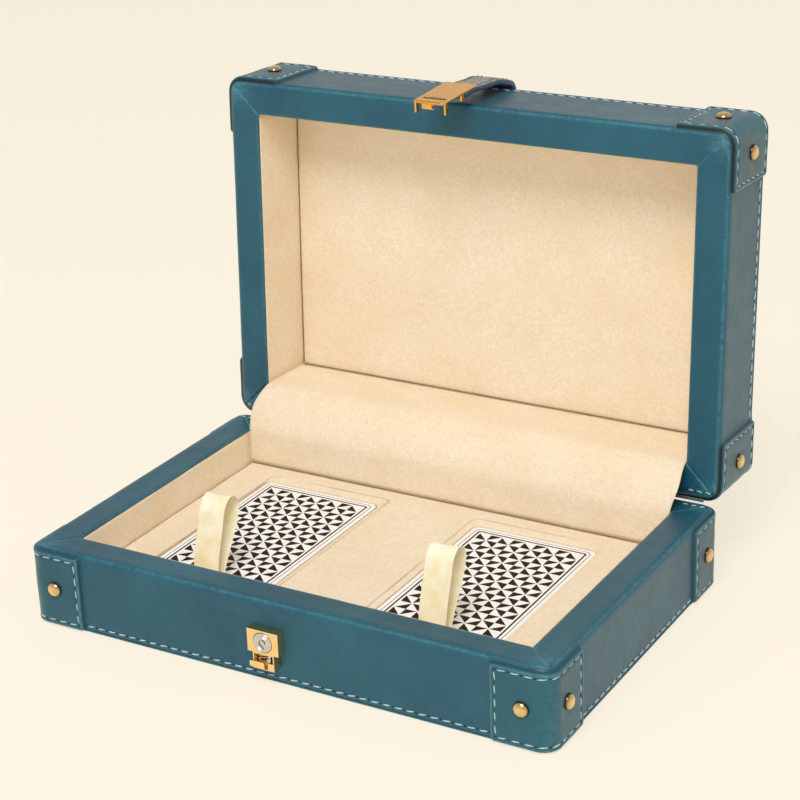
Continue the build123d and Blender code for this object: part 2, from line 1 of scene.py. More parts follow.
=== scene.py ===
# %% [markdown]
# # A leather card box
# This lesson builds the looks of a small hinged box around its CAD frame. The real one is a
# board carcass covered in teal cowhide, lined with cream suede, with two decks of cards inside.
# Each step says what the piece is on the real box and which of Blender's tools suits it.

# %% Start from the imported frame
import json
import math

import bmesh
import bpy
import numpy as np
from mathutils import Matrix, Vector, noise


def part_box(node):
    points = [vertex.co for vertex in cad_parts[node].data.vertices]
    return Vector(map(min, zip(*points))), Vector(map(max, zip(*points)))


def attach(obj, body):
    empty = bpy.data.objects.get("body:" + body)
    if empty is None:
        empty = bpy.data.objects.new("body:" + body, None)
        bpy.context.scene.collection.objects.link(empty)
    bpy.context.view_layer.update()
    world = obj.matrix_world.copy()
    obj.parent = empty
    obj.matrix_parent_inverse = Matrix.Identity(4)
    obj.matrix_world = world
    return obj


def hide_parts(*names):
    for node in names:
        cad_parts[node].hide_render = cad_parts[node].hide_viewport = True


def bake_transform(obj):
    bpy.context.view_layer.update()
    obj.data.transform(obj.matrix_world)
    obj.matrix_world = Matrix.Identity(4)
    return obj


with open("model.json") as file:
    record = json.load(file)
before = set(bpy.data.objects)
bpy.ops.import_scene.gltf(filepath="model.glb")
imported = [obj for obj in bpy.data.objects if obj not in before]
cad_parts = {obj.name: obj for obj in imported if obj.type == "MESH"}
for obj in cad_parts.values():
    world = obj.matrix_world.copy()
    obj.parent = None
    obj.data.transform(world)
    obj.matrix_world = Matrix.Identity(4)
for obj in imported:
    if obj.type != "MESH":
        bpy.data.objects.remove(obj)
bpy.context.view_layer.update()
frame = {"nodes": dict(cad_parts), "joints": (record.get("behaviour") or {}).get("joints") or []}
scene = bpy.context.scene

# %% [markdown]
# ## Sizes
# The script works in millimetres, as a maker would, and turns them to metres when a mesh is
# written. What the CAD nodes can tell is read from them. The lid was drawn closed and then
# turned open about the hinge cord, so its pieces are made closed here as well and turned last.

# %% Sizes in millimetres
MM = 0.001


def node_box(name):
    low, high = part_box(name)
    return np.array(low) / MM, np.array(high) / MM


HALF_X, HALF_Y = node_box("base_bottom_leather")[1][:2]
BASE_HEIGHT = node_box("base_side_leather")[1][2]
FLOOR = node_box("card_insert")[0][2]
PLATFORM_TOP = node_box("card_insert")[1][2]
HINGE_Y, HINGE_Z = ((a + b) / 2 for a, b in zip(*[c[1:] for c in node_box("hinge_cord")]))
OPEN_ANGLE = next(j for j in frame["joints"] if j["name"] == "lid_hinge")["range_deg"][1]
LID_HEIGHT = 36.5
LID_RIM = BASE_HEIGHT + 0.8
LID_TOP = LID_RIM + LID_HEIGHT
LID_PANEL = LID_TOP - 6.0
RIM = 14.5  # width of the leather rim
RIM_ROUND = 2.4  # radius where the leather turns from the wall to the rim
CORNER = 6.0  # outer corner radius
CAP_LENGTH, CAP_THICK = 24.5, 1.4
CLASP_X = -3.0
FRONT = -HALF_Y
INNER_X, INNER_Y = HALF_X - RIM, HALF_Y - RIM
print(f"box {2 * HALF_X:.1f} x {2 * HALF_Y:.1f} mm, open by {OPEN_ANGLE:.1f} degrees")


# %% Turning lid pieces open
def as_base(points):
    return np.asarray(points, float)


def as_lid(points):
    """Half-box points, with the outer face on z = 0, as part of the open lid."""
    closed = np.asarray(points, float) * (1, 1, -1) + (0, 0, LID_TOP)
    return opened(closed)


def opened(points):
    """Points of the closed lid, turned open about the hinge cord."""
    p = np.asarray(points, float).copy()
    turn = math.radians(-OPEN_ANGLE)
    y, z = p[..., 1] - HINGE_Y, p[..., 2] - HINGE_Z
    p[..., 1] = HINGE_Y + y * math.cos(turn) - z * math.sin(turn)
    p[..., 2] = HINGE_Z + y * math.sin(turn) + z * math.cos(turn)
    return p


HALVES = {
    "base": {"place": as_base, "height": BASE_HEIGHT, "body": "tray", "board": 2.0},
    "lid": {"place": as_lid, "height": LID_HEIGHT, "body": "lid", "board": 2.6},
}

# %% [markdown]
# ## Camera
# The camera comes first, so that every later step can be looked at from the same place. A long
# lens from a little above shows three faces and the inside of the lid.

# %% Camera
camera = bpy.data.objects.new("camera", bpy.data.cameras.new("camera"))
scene.collection.objects.link(camera)
forward = Vector((-0.47931, 0.79059, -0.38109)).normalized()
level = forward.cross(Vector((0, 0, 1))).normalized()
roll = math.radians(-2.341)
right = level * math.cos(roll) + level.cross(forward) * math.sin(roll)
up = right.cross(forward)
camera.matrix_world = Matrix.Translation((0.41288, -0.67619, 0.41379)) @ Matrix(
    (right, up, -forward)).transposed().to_4x4()
camera.data.lens = 96.45
camera.data.shift_x = 0.0294
camera.data.shift_y = 0.0064
camera.data.clip_start, camera.data.clip_end = 0.01, 20
scene.camera = camera
print("camera", tuple(round(v, 3) for v in camera.location))

# %% [markdown]
# ## Floor and light
# A pale cream floor and a bright cream sky give the soft, almost shadowless light of a product
# table. One large softbox above the front right shapes the brass and the satin. The sky is
# brighter near the horizon than overhead, so that upright faces are lit as well as level ones.
# The floor glows a little by itself, which keeps its shadow faint.


# %% Colour and node helpers
def linear(code):
    """An sRGB hex colour as linear RGBA."""
    channels = [int(code[i:i + 2], 16) / 255 for i in (1, 3, 5)]
    return (*(c / 12.92 if c <= 0.04045 else ((c + 0.055) / 1.055) ** 2.4 for c in channels), 1)


def add(owner, kind, inputs=(), out=0, **settings):
    """Adds a node with its settings and returns one of its outputs.

    Inputs go by place in a list, or by name in a dict. One that is a socket becomes a link.
    """
    node = owner.node_tree.nodes.new("ShaderNode" + kind)
    for key, value in settings.items():
        setattr(node, key, value)
    named = inputs if isinstance(inputs, dict) else dict(enumerate(inputs))
    for key, value in named.items():
        if isinstance(value, bpy.types.NodeSocket):
            owner.node_tree.links.new(value, node.inputs[key])
        else:
            node.inputs[key].default_value = value
    return node.outputs[out] if node.outputs else node


def new_material(name):
    material = bpy.data.materials.new(name)
    material.use_nodes = True
    material.node_tree.nodes.clear()
    return material


def finish_material(material, shader):
    add(material, "OutputMaterial", {"Surface": shader})
    print("material", material.name)
    return material


# %% Floor
FLOOR_HALF = 12.0  # metres


def make_floor():
    cream = new_material("painted_table")
    diffuse = add(cream, "BsdfDiffuse", {"Color": linear("#F8EFDF")})
    glow = add(cream, "Emission", {"Color": linear("#FEF5E4"), "Strength": 1.04})
    finish_material(cream, add(cream, "MixShader", [0.72, diffuse, glow]))
    corners = [(x * FLOOR_HALF, y * FLOOR_HALF, 0) for x, y in ((-1, -1), (1, -1), (1, 1), (-1, 1))]
    mesh = bpy.data.meshes.new("table_top")
    mesh.from_pydata(corners, [], [(0, 1, 2, 3)])
    mesh.materials.append(cream)
    table = bpy.data.objects.new("table_top", mesh)
    scene.collection.objects.link(table)


make_floor()


# %% Lights
def softbox(name, place, aim, size, power):
    lamp = bpy.data.lights.new(name, "AREA")
    lamp.shape, lamp.size, lamp.energy = "SQUARE", size, power
    lamp.color = linear("#FFFBF5")[:3]
    box = bpy.data.objects.new(name, lamp)
    scene.collection.objects.link(box)
    box.location = place
    box.rotation_euler = (Vector(aim) - Vector(place)).to_track_quat("-Z", "Y").to_euler()


def cream_sky():
    """A cream sky that dims from near the horizon upwards."""
    world = bpy.data.worlds.new("studio")
    scene.world = world
    world.use_nodes = True
    sky = world.node_tree.nodes["Background"]
    sky.inputs["Color"].default_value = linear("#FFFAF2")
    upward = add(world, "SeparateXYZ", [add(world, "TexCoord", out="Generated")], "Z")
    dimming = add(world, "MapRange", {
        "Value": upward, "From Min": 0.2, "From Max": 0.9, "To Min": 0.8, "To Max": 0.48})
    world.node_tree.links.new(dimming, sky.inputs["Strength"])


softbox("key_softbox", (0.25, -0.85, 1.4), (0, 0.02, 0.06), 0.7, 15)
cream_sky()
scene.view_settings.view_transform = "Standard"
print("lit by one softbox and a cream sky")

# %% [markdown]
# ## Leather
# The cover is aniline-dyed cowhide, lightly waxed. That gives the eye a deep teal with slow
# changes of tone, a fine pebbled grain of cells about a millimetre wide, a satin shine, and
# paler edges, partly where the dye has rubbed off and partly a painted highlight. Each mesh
# carries a value of wear and painted light: above 0 the colour is paler there, rubbed dye with
# painted highlight, and below 0 it is painted shade, the dark gap under a corner cap's edge.


# %% Shared parts of a material
def mm_coordinates(material, stretch=(1, 1, 1)):
    """Object coordinates in millimetres, so that pattern scales are one over a real size."""
    place = add(material, "TexCoord", out="Object")
    return add(material, "VectorMath", [place, [s / MM for s in stretch]], operation="MULTIPLY")


def patches(material, where, size, low, high, detail=2.0, rough=0.5):
    """Soft patches about so many mm across: noise whose low becomes 0 and high becomes 1."""
    cloud = add(material, "TexNoise", {
        "Vector": where, "Scale": 1 / size, "Detail": detail, "Roughness": rough}, "Fac")
    return add(material, "MapRange", {"Value": cloud, "From Min": low, "From Max": high})


# %% Cowhide
PAINTED_GAP_SHADE = "#07141B"


def cowhide(name, deep, pale, worn_and_highlight, roughness, grain_mm):
    hide = new_material(name)
    where = mm_coordinates(hide)

    # The dye: slow changes of tone with a finer mottle on them.
    tone = add(hide, "Math", [patches(hide, where, 38, 0.3, 0.7, 3), 0.8], operation="MULTIPLY")
    mottle = add(hide, "Math", [patches(hide, where, 4.5, 0.35, 0.75, 3), 0.3], operation="MULTIPLY")
    dye_and_painted_light = add(hide, "Mix", {0: tone, 6: linear(deep), 7: linear(pale)}, 2, data_type="RGBA")
    dye_and_painted_light = add(hide, "Mix", {0: mottle, 6: dye_and_painted_light, 7: linear(pale)}, 2, data_type="RGBA")

    # Fine scuffs run one way and gather in patches, and the value that each mesh carries pales the edges:
    # rubbed dye with a painted highlight on them.
    scratches = patches(hide, mm_coordinates(hide, (1.0, 0.22, 0.5)), 1.6, 0.66, 0.8, 4, 0.7)
    handled = patches(hide, where, 17, 0.5, 0.7, 1)
    scuffs = add(hide, "Math", [scratches, handled], operation="MULTIPLY")
    scuffs = add(hide, "Math", [scuffs, 0.3], operation="MULTIPLY")
    wear_and_painted_light = add(hide, "Attribute", out="Fac", attribute_name="wear_and_painted_light")
    rubbed_and_painted_highlight = patches(hide, where, 2.2, 0.3, 0.62, 4, 0.65)
    rubbed_and_painted_highlight = add(hide, "Math", [wear_and_painted_light, rubbed_and_painted_highlight], operation="MULTIPLY")
    faded_and_painted_highlight = add(hide, "Math", [rubbed_and_painted_highlight, scuffs], operation="MAXIMUM")
    dye_and_painted_light = add(hide, "Mix", {0: faded_and_painted_highlight, 6: dye_and_painted_light, 7: linear(worn_and_highlight)}, 2, data_type="RGBA")
    # Below 0 the value paints shade: the near-black of the gap under a corner cap's edge.
    seam = add(hide, "Math", [wear_and_painted_light, -1.0], operation="MULTIPLY")
    dye_and_painted_light = add(hide, "Mix", {0: seam, 6: dye_and_painted_light, 7: linear(PAINTED_GAP_SHADE)}, 2, data_type="RGBA")

    # The grain: pebbled cells, wider wrinkles, and a fine roughness of half a millimetre.
    cells = add(hide, "TexVoronoi", {
        "Vector": where, "Scale": 1 / grain_mm, "Randomness": 0.9}, "Distance")
    pebbles = add(hide, "Math", [cells, -0.55], operation="MULTIPLY")
    wrinkles = add(hide, "TexNoise", {
        "Vector": where, "Scale": 1 / 5.5, "Detail": 4, "Roughness": 0.55}, "Fac")
    wrinkles = add(hide, "Math", [wrinkles, 0.9], operation="MULTIPLY")
    fine = add(hide, "TexNoise", {"Vector": where, "Scale": 1 / 0.5}, "Fac")
    fine = add(hide, "Math", [fine, 0.35], operation="MULTIPLY")
    height = add(hide, "Math", [pebbles, wrinkles], operation="ADD")
    height = add(hide, "Math", [height, fine], operation="ADD")

    # The wax lies unevenly, so the shine changes a little from place to place.
    wax = add(hide, "TexNoise", {"Vector": where, "Scale": 1 / 9, "Detail": 3}, "Fac")
    shine = add(hide, "Math", [wax, 0.22], operation="MULTIPLY")
    shine = add(hide, "Math", [shine, roughness - 0.11], operation="ADD")
    shader = add(hide, "BsdfPrincipled", {
        "Base Color": dye_and_painted_light, "Roughness": shine, "IOR": 1.5, "Specular IOR Level": 0.43,
        "Sheen Weight": 0.14, "Sheen Roughness": 0.35, "Sheen Tint": linear("#FFD9AE"),
        "Normal": add(hide, "Bump", {"Height": height, "Distance": 0.17 * MM, "Strength": 1.0})})
    return finish_material(hide, shader)


TEAL_COWHIDE = cowhide("waxed_teal_cowhide", "#0D4960", "#196073", "#4F92A3", 0.41, 0.9)
CAP_COWHIDE = cowhide("burnished_teal_cowhide", "#114C5F", "#1C6172", "#5E9FAD", 0.39, 0.8)
STRAP_COWHIDE = cowhide("strap_teal_cowhide", "#0F3B60", "#17517C", "#A39E8E", 0.46, 0.7)
FLESH_SIDE = cowhide("cut_edge_of_cowhide", "#41585C", "#6C7A78", "#8B9693", 0.78, 0.5)

# %% [markdown]
# ## Suede
# The lining is split pigskin suede, brushed to a short nap. It is matt, with a pale bloom at
# grazing angles that the sheen lobe gives, and hand-sized patches where the nap lies the other
# way. Real fibres are finer than a render at this size can show, so their tufts are drawn
# 1.3 mm wide in colour and about 0.45 mm wide in relief.


# %% Suede
def pigskin_suede(name, base, light, shade):
    nap = new_material(name)
    where = mm_coordinates(nap)
    lie = patches(nap, where, 26, 0.32, 0.68, 3, 0.6)
    lie = add(nap, "Math", [lie, 0.75], operation="MULTIPLY")
    tufts = patches(nap, where, 1.3, 0.38, 0.66, 4, 0.8)
    tufts = add(nap, "Math", [tufts, 0.5], operation="MULTIPLY")
    # The value that each mesh carries paints shade on the suede: darker in creases, corners and joints,
    # and under the decks.
    crease = add(nap, "Attribute", out="Fac", attribute_name="wear_and_painted_light")
    dye_and_painted_light = add(nap, "Mix", {0: lie, 6: linear(base), 7: linear(light)}, 2, data_type="RGBA")
    dye_and_painted_light = add(nap, "Mix", {0: tufts, 6: dye_and_painted_light, 7: linear(shade)}, 2, data_type="RGBA")
    dye_and_painted_light = add(nap, "Mix", {0: crease, 6: dye_and_painted_light, 7: linear("#A88258")}, 2, data_type="RGBA")
    fibres = add(nap, "TexNoise", {
        "Vector": where, "Scale": 1 / 0.45, "Detail": 3, "Roughness": 0.7}, "Fac")
    swells = add(nap, "TexNoise", {"Vector": where, "Scale": 1 / 7}, "Fac")
    swells = add(nap, "Math", [swells, 1.6], operation="MULTIPLY")
    height = add(nap, "Math", [fibres, swells], operation="ADD")
    shader = add(nap, "BsdfPrincipled", {
        "Base Color": dye_and_painted_light, "Roughness": 0.95, "IOR": 1.45, "Specular IOR Level": 0.2,
        "Sheen Weight": 0.18, "Sheen Roughness": 0.45, "Sheen Tint": linear("#FFF1DC"),
        "Normal": add(nap, "Bump", {"Height": height, "Distance": 0.34 * MM, "Strength": 1.0})})
    return finish_material(nap, shader)


SUEDE = pigskin_suede("cream_pigskin_suede", "#F9E9CF", "#FFF5E4", "#E4CCA6")

# %% [markdown]
# ## Metals
# The lock, the hasp and the rivets are cast and tumbled brass with a thin lacquer. Tumbling
# leaves it smooth but not mirror-bright, so the roughness stays near 0.2 with cloudy patches.
# The barrel is nickel-plated and the hook is spring steel.


# %% Metals
def metal(name, colour, tarnish, roughness, tarnished):
    cast = new_material(name)
    where = mm_coordinates(cast)
    cloud = patches(cast, where, 2.4, 0.42, 0.72, 4, 0.6)
    cloud = add(cast, "Math", [cloud, tarnished], operation="MULTIPLY")
    # Brown where the mesh asks for it: a rivet's patina, which also paints the dark reflection of the
    # leather at its foot.
    patina_and_dark_reflection = add(cast, "Attribute", out="Fac", attribute_name="wear_and_painted_light")
    tone = add(cast, "Mix", {0: cloud, 6: linear(colour), 7: linear(tarnish)}, 2, data_type="RGBA")
    tone = add(cast, "Mix", {0: patina_and_dark_reflection, 6: tone, 7: linear("#3B2A14")}, 2, data_type="RGBA")
    haze = add(cast, "TexNoise", {"Vector": where, "Scale": 1 / 1.1, "Detail": 3}, "Fac")
    shine = add(cast, "Math", [haze, 0.2], operation="MULTIPLY")
    shine = add(cast, "Math", [shine, roughness - 0.1], operation="ADD")
    dents = add(cast, "TexNoise", {"Vector": where, "Scale": 1 / 0.9}, "Fac")
    shader = add(cast, "BsdfPrincipled", {
        "Base Color": tone, "Metallic": 1.0, "Roughness": shine,
        "Normal": add(cast, "Bump", {"Height": dents, "Distance": 0.012 * MM, "Strength": 1.0})})
    return finish_material(cast, shader)


POLISHED_BRASS = metal("tumbled_yellow_brass", "#F2B75D", "#C28838", 0.25, 0.25)
PALE_BRASS = metal("lacquered_pale_brass", "#FCD89C", "#D6AC66", 0.22, 0.2)
ANTIQUE_BRASS = metal("antiqued_rivet_brass", "#F3D295", "#A87C3C", 0.19, 0.3)
NICKEL = metal("satin_nickel_plate", "#D9D6D0", "#A8A49B", 0.26, 0.3)
SPRING_STEEL = metal("bright_spring_steel", "#D5D3D0", "#8F8B85", 0.22, 0.3)

# %% [markdown]
# ## Ribbon, thread and board
# The pull loops are woven satin ribbon: long floats of warp thread make it glossy along its
# length. The warp is drawn at one line each 0.4 mm, coarser than real satin, so that it shows.
# The seams are sewn with thick bonded polyester thread, and the carcass is grey fibre board.

# %% Ribbon, thread and board
WARP_MM = 0.4


def satin(name, base, light):
    weave = new_material(name)
    where = mm_coordinates(weave)
    across = add(weave, "SeparateXYZ", [where], "X")
    warp = add(weave, "Math", [across, 2 * math.pi / WARP_MM], operation="MULTIPLY")
    warp = add(weave, "Math", [warp], operation="SINE")
    # Soft lighter patches about 6 mm across are a painted sheen on the satin.
    glow = patches(weave, where, 6, 0.3, 0.7)
    colour = add(weave, "Mix", {0: glow, 6: linear(base), 7: linear(light)}, 2, data_type="RGBA")
    shader = add(weave, "BsdfPrincipled", {
        "Base Color": colour, "Roughness": 0.3, "IOR": 1.55, "Sheen Weight": 0.3,
        "Sheen Roughness": 0.3,
        "Normal": add(weave, "Bump", {"Height": warp, "Distance": 0.012 * MM, "Strength": 1.0})})
    return finish_material(weave, shader)


def plain_stuff(name, base, speck, roughness, speck_mm, depth_mm):
    stuff = new_material(name)
    grains = patches(stuff, mm_coordinates(stuff), speck_mm, 0.35, 0.7, 3, 0.65)
    tone = add(stuff, "Mix", {0: grains, 6: linear(base), 7: linear(speck)}, 2, data_type="RGBA")
    shader = add(stuff, "BsdfPrincipled", {
        "Base Color": tone, "Roughness": roughness,
        "Normal": add(stuff, "Bump", {"Height": grains, "Distance": depth_mm * MM, "Strength": 1.0})})
    return finish_material(stuff, shader)


SATIN = satin("cream_satin_ribbon", "#F3E8BE", "#FEFAE6")
THREAD = plain_stuff("pale_blue_polyester_thread", "#CCDFEA", "#7F9FB4", 0.55, 0.6, 0.06)
NAVY_THREAD = plain_stuff("navy_polyester_thread", "#6E8AA0", "#2F4A62", 0.6, 0.6, 0.06)
# Painted shade: the dark inside a needle hole, laid on a small bead over the leather.
NEEDLE_HOLE_SHADE = plain_stuff("painted_needle_hole_shade", "#12303C", "#0B1F28", 0.8, 0.4, 0.02)
FIBRE_BOARD = plain_stuff("grey_fibre_board", "#8E8578", "#6F675C", 0.9, 0.8, 0.05)
CARD_EDGE = plain_stuff("cut_edges_of_card_stock", "#EDEAE6", "#C9C4BD", 0.6, 0.5, 0.02)

# %% [markdown]
# ## Printed card back
# Playing cards are coated card stock, printed in black. The back is a plain geometric pattern:
# squares of 5.25 mm, each cut in two by a diagonal, black on one side. Four squares make a
# pinwheel. A thick and a thin line frame it. It is drawn with plain arithmetic on the card's
# own coordinates, so it stays sharp at any size.

# %% Card back
CARD_X, CARD_Y = 57.2, 88.9
SQUARE = 5.25
ACROSS, ALONG = 9, 15
DIAGONAL_GAP = 0.26  # white left along each diagonal
KEEP_POSITIVE = 40 * SQUARE  # whole pinwheels, so that the remainder is never taken of less than 0


def card_back():
    card = new_material("printed_card_stock")
    where = mm_coordinates(card)
    x, y = (add(card, "SeparateXYZ", [where], axis) for axis in "XY")

    def from_block_middle(value, count):
        """Signed distance to the middle of the pinwheel that a point lies in."""
        shift = count * SQUARE / 2 + KEEP_POSITIVE
        place = add(card, "Math", [value, shift], operation="ADD")
        place = add(card, "Math", [place, 2 * SQUARE], operation="MODULO")
        return add(card, "Math", [place, SQUARE], operation="SUBTRACT")

    # A triangle is black where the two distances and the side of the diagonal multiply to more
    # than 0, except close to the diagonal.
    p = from_block_middle(x, ACROSS)
    q = from_block_middle(add(card, "Math", [y, -1.0], operation="MULTIPLY"), ALONG)
    q = add(card, "Math", [q, -1.0], operation="MULTIPLY")
    far_p, far_q = (add(card, "Math", [v], operation="ABSOLUTE") for v in (p, q))
    lean = add(card, "Math", [far_q, far_p], operation="SUBTRACT")
    sign = add(card, "Math", [p, q], operation="MULTIPLY")
    sign = add(card, "Math", [sign, lean], operation="MULTIPLY")
    black = add(card, "Math", [sign, 0.0], operation="GREATER_THAN")
    clear = add(card, "Math", [lean], operation="ABSOLUTE")
    clear = add(card, "Math", [clear, DIAGONAL_GAP], operation="GREATER_THAN")
    black = add(card, "Math", [black, clear], operation="MULTIPLY")

    def inside(half_x, half_y, radius):
        """1 inside a rounded rectangle round the card's middle, 0 outside."""
        squares = []
        for value, half in ((x, half_x), (y, half_y)):
            past = add(card, "Math", [value], operation="ABSOLUTE")
            past = add(card, "Math", [past, half - radius], operation="SUBTRACT")
            past = add(card, "Math", [past, 0.0], operation="MAXIMUM")
            squares.append(add(card, "Math", [past, past], operation="MULTIPLY"))
        away = add(card, "Math", squares, operation="ADD")
        away = add(card, "Math", [away], operation="SQRT")
        return add(card, "Math", [away, radius], operation="LESS_THAN")

    def frame_line(inset, width, radius):
        outer = inside(CARD_X / 2 - inset, CARD_Y / 2 - inset, radius)
        inner = inside(CARD_X / 2 - inset - width, CARD_Y / 2 - inset - width, radius - width / 2)
        return add(card, "Math", [outer, inner], operation="SUBTRACT")

    field = inside(ACROSS * SQUARE / 2, ALONG * SQUARE / 2, 0.1)
    ink = add(card, "Math", [black, field], operation="MULTIPLY")
    for inset, width, radius in ((3.35, 0.8, 1.2), (1.8, 0.3, 2.6)):
        ink = add(card, "Math", [ink, frame_line(inset, width, radius)], operation="MAXIMUM")
    fibre = patches(card, where, 1.3, 0.2, 0.8, 4, 0.7)
    paper = add(card, "Mix", {0: fibre, 6: linear("#FEFDFE"), 7: linear("#F6F3F3")}, 2,
                data_type="RGBA")
    tone = add(card, "Mix", {0: ink, 6: paper, 7: linear("#060504")}, 2, data_type="RGBA")
    linen = add(card, "TexNoise", {"Vector": where, "Scale": 1 / 0.4}, "Fac")
    shader = add(card, "BsdfPrincipled", {
        "Base Color": tone, "Roughness": 0.5, "Specular IOR Level": 0.18,
        "Normal": add(card, "Bump", {"Height": linen, "Distance": 0.008 * MM, "Strength": 1.0})})
    return finish_material(card, shader)


PRINTED_CARD = card_back()

# %% [markdown]
# ## Mesh helpers
# Each soft piece is written as a grid of points that bends round the box, and then closed. This
# gives even quads, exact thickness and full control of folds, which a modelled cube with
# modifiers wouldn't. `piece` turns points to metres, makes faces look outwards and gives the
# new object its body.


# %% Making a piece
def piece(name, points, faces, material, body, wear_and_painted_light=None, sharp=None,
          origin=(0, 0, 0)):
    mesh = bpy.data.meshes.new(name)
    flat = (np.asarray(points, float).reshape(-1, 3) - origin) * MM
    mesh.from_pydata(flat.tolist(), [], faces)
    work = bmesh.new()
    work.from_mesh(mesh)
    bmesh.ops.recalc_face_normals(work, faces=work.faces)
    work.to_mesh(mesh)
    work.free()
    mesh.materials.append(material)
    mesh.shade_smooth()
    if sharp:
        mesh.set_sharp_from_angle(angle=math.radians(sharp))
    if wear_and_painted_light is not None:
        layer = mesh.attributes.new("wear_and_painted_light", "FLOAT", "POINT")
        layer.data.foreach_set("value", np.clip(np.ravel(wear_and_painted_light), -1, 1).astype(np.float32))
    made = bpy.data.objects.new(name, mesh)
    scene.collection.objects.link(made)
    made.location = np.array(origin) * MM
    if body:
        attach(made, body)
    print(f"{name}: {len(mesh.vertices)} points")
    return made


def grid_faces(rows, columns, wrap_rows=False, wrap_columns=False, start=0):
    """Quads of a grid of points that are numbered row by row."""
    faces = []
    for i in range(rows if wrap_rows else rows - 1):
        for j in range(columns if wrap_columns else columns - 1):
            a, b = i * columns + j, i * columns + (j + 1) % columns
            c, d = ((i + 1) % rows) * columns + (j + 1) % columns, ((i + 1) % rows) * columns + j
            faces.append((start + a, start + b, start + c, start + d))
    return faces


def end_faces(rows, columns, start=0):
    """The two faces that close the ends of a tube made of rings."""
    last = start + (rows - 1) * columns
    return [tuple(reversed(range(start, start + columns))), tuple(range(last, last + columns))]


def shell(outer, inner):
    """Points and faces of a closed sheet, from two grids of the same shape."""
    rows, columns = outer.shape[:2]
    points = np.concatenate([outer.reshape(-1, 3), inner.reshape(-1, 3)])
    size = rows * columns
    faces = grid_faces(rows, columns) + [f[::-1] for f in grid_faces(rows, columns, start=size)]
    rim = [j for j in range(columns)] + [i * columns + columns - 1 for i in range(1, rows)]
    rim += [(rows - 1) * columns + j for j in range(columns - 2, -1, -1)]
    rim += [i * columns for i in range(rows - 2, 0, -1)]
    faces += [(a, b, b + size, a + size) for a, b in zip(rim, rim[1:] + rim[:1])]
    return points, faces


def lumps(points, size, amount, seed=0.0):
    """Smooth noise at each point, between about plus and minus the amount."""
    flat = np.asarray(points, float).reshape(-1, 3) / size + seed
    values = np.array([noise.noise(Vector(p)) for p in flat])
    return amount * values.reshape(np.asarray(points).shape[:-1])


def run_along(line):
    """How far along a line each of its points is."""
    return np.concatenate([[0], np.cumsum(np.linalg.norm(np.diff(line, axis=0), axis=1))])


def beside(line):
    """The direction square to a line in (y, z) at each of its points."""
    along = np.gradient(line, axis=0)
    along /= np.linalg.norm(along, axis=1)[:, None]
    return np.stack([along[:, 1], -along[:, 0]], 1)


def steps(length, near, gap):
    """Places from 0 to a length, close together near both ends."""
    middle = length - 2 * near[-1]
    count = max(2, round(middle / gap))
    inner = [near[-1] + middle * k / count for k in range(1, count)]
    return [0, *near, *inner, *(length - n for n in reversed(near)), length]


# %% [markdown]
# ## Leather covers
# Each half is covered by one strip of cowhide that wraps the wall, rolls over the rim and is
# turned in at the mouth. The strips meet in mitred seams at the rim's corners, where the
# leather puckers and the dye rubs off. A cross-section swept round the box makes it, with the
# seams pressed in afterwards.


# %% Sweeping a section round the box
NEAR_CORNER = [0.4, 1.0, 1.8, 3.0, 4.6, 6.6, 9.0]
ARC_STEPS = 12


def round_the_box(section, gap=2.4):
    """A grid of points: one row for each (inset, height, corner radius), one column round the box."""
    rows = []
    reference = [2 * (h - CORNER) for h in (HALF_Y, HALF_X, HALF_Y, HALF_X)]
    for inset, height, radius in section:
        row = []
        centre = np.array([HALF_X - inset - radius, HALF_Y - inset - radius])
        for k, (sx, sy) in enumerate([(1, -1), (1, 1), (-1, 1), (-1, -1)]):
            first = math.radians(90 * (k - 1))
            for step in range(ARC_STEPS + 1):
                a = first + math.pi / 2 * step / ARC_STEPS
                row.append((*(centre * (sx, sy) + radius * np.array([math.cos(a), math.sin(a)])), height))
            start = np.array(row[-1][:2])
            run = np.array([[0, 1], [-1, 0], [0, -1], [1, 0]][k], float)
            length = 2 * centre[1 if k % 2 == 0 else 0]
            places = steps(reference[k], NEAR_CORNER, gap)[1:-1]
            for s in places:
                if s <= NEAR_CORNER[-1]:
                    along = s
                elif s >= reference[k] - NEAR_CORNER[-1]:
                    along = length - (reference[k] - s)
                else:
                    share = (s - NEAR_CORNER[-1]) / (reference[k] - 2 * NEAR_CORNER[-1])
                    along = NEAR_CORNER[-1] + share * (length - 2 * NEAR_CORNER[-1])
                row.append((*(start + run * along), height))
        rows.append(row)
    return np.array(rows)


def rim_arc(height, count):
    """Points of the quarter-round in a cross-section that turns the wall onto the rim."""
    turns = [math.radians(90 * k / count) for k in range(count + 1)]
    return [(RIM_ROUND * (1 - math.cos(a)), height + RIM_ROUND * math.sin(a)) for a in turns]


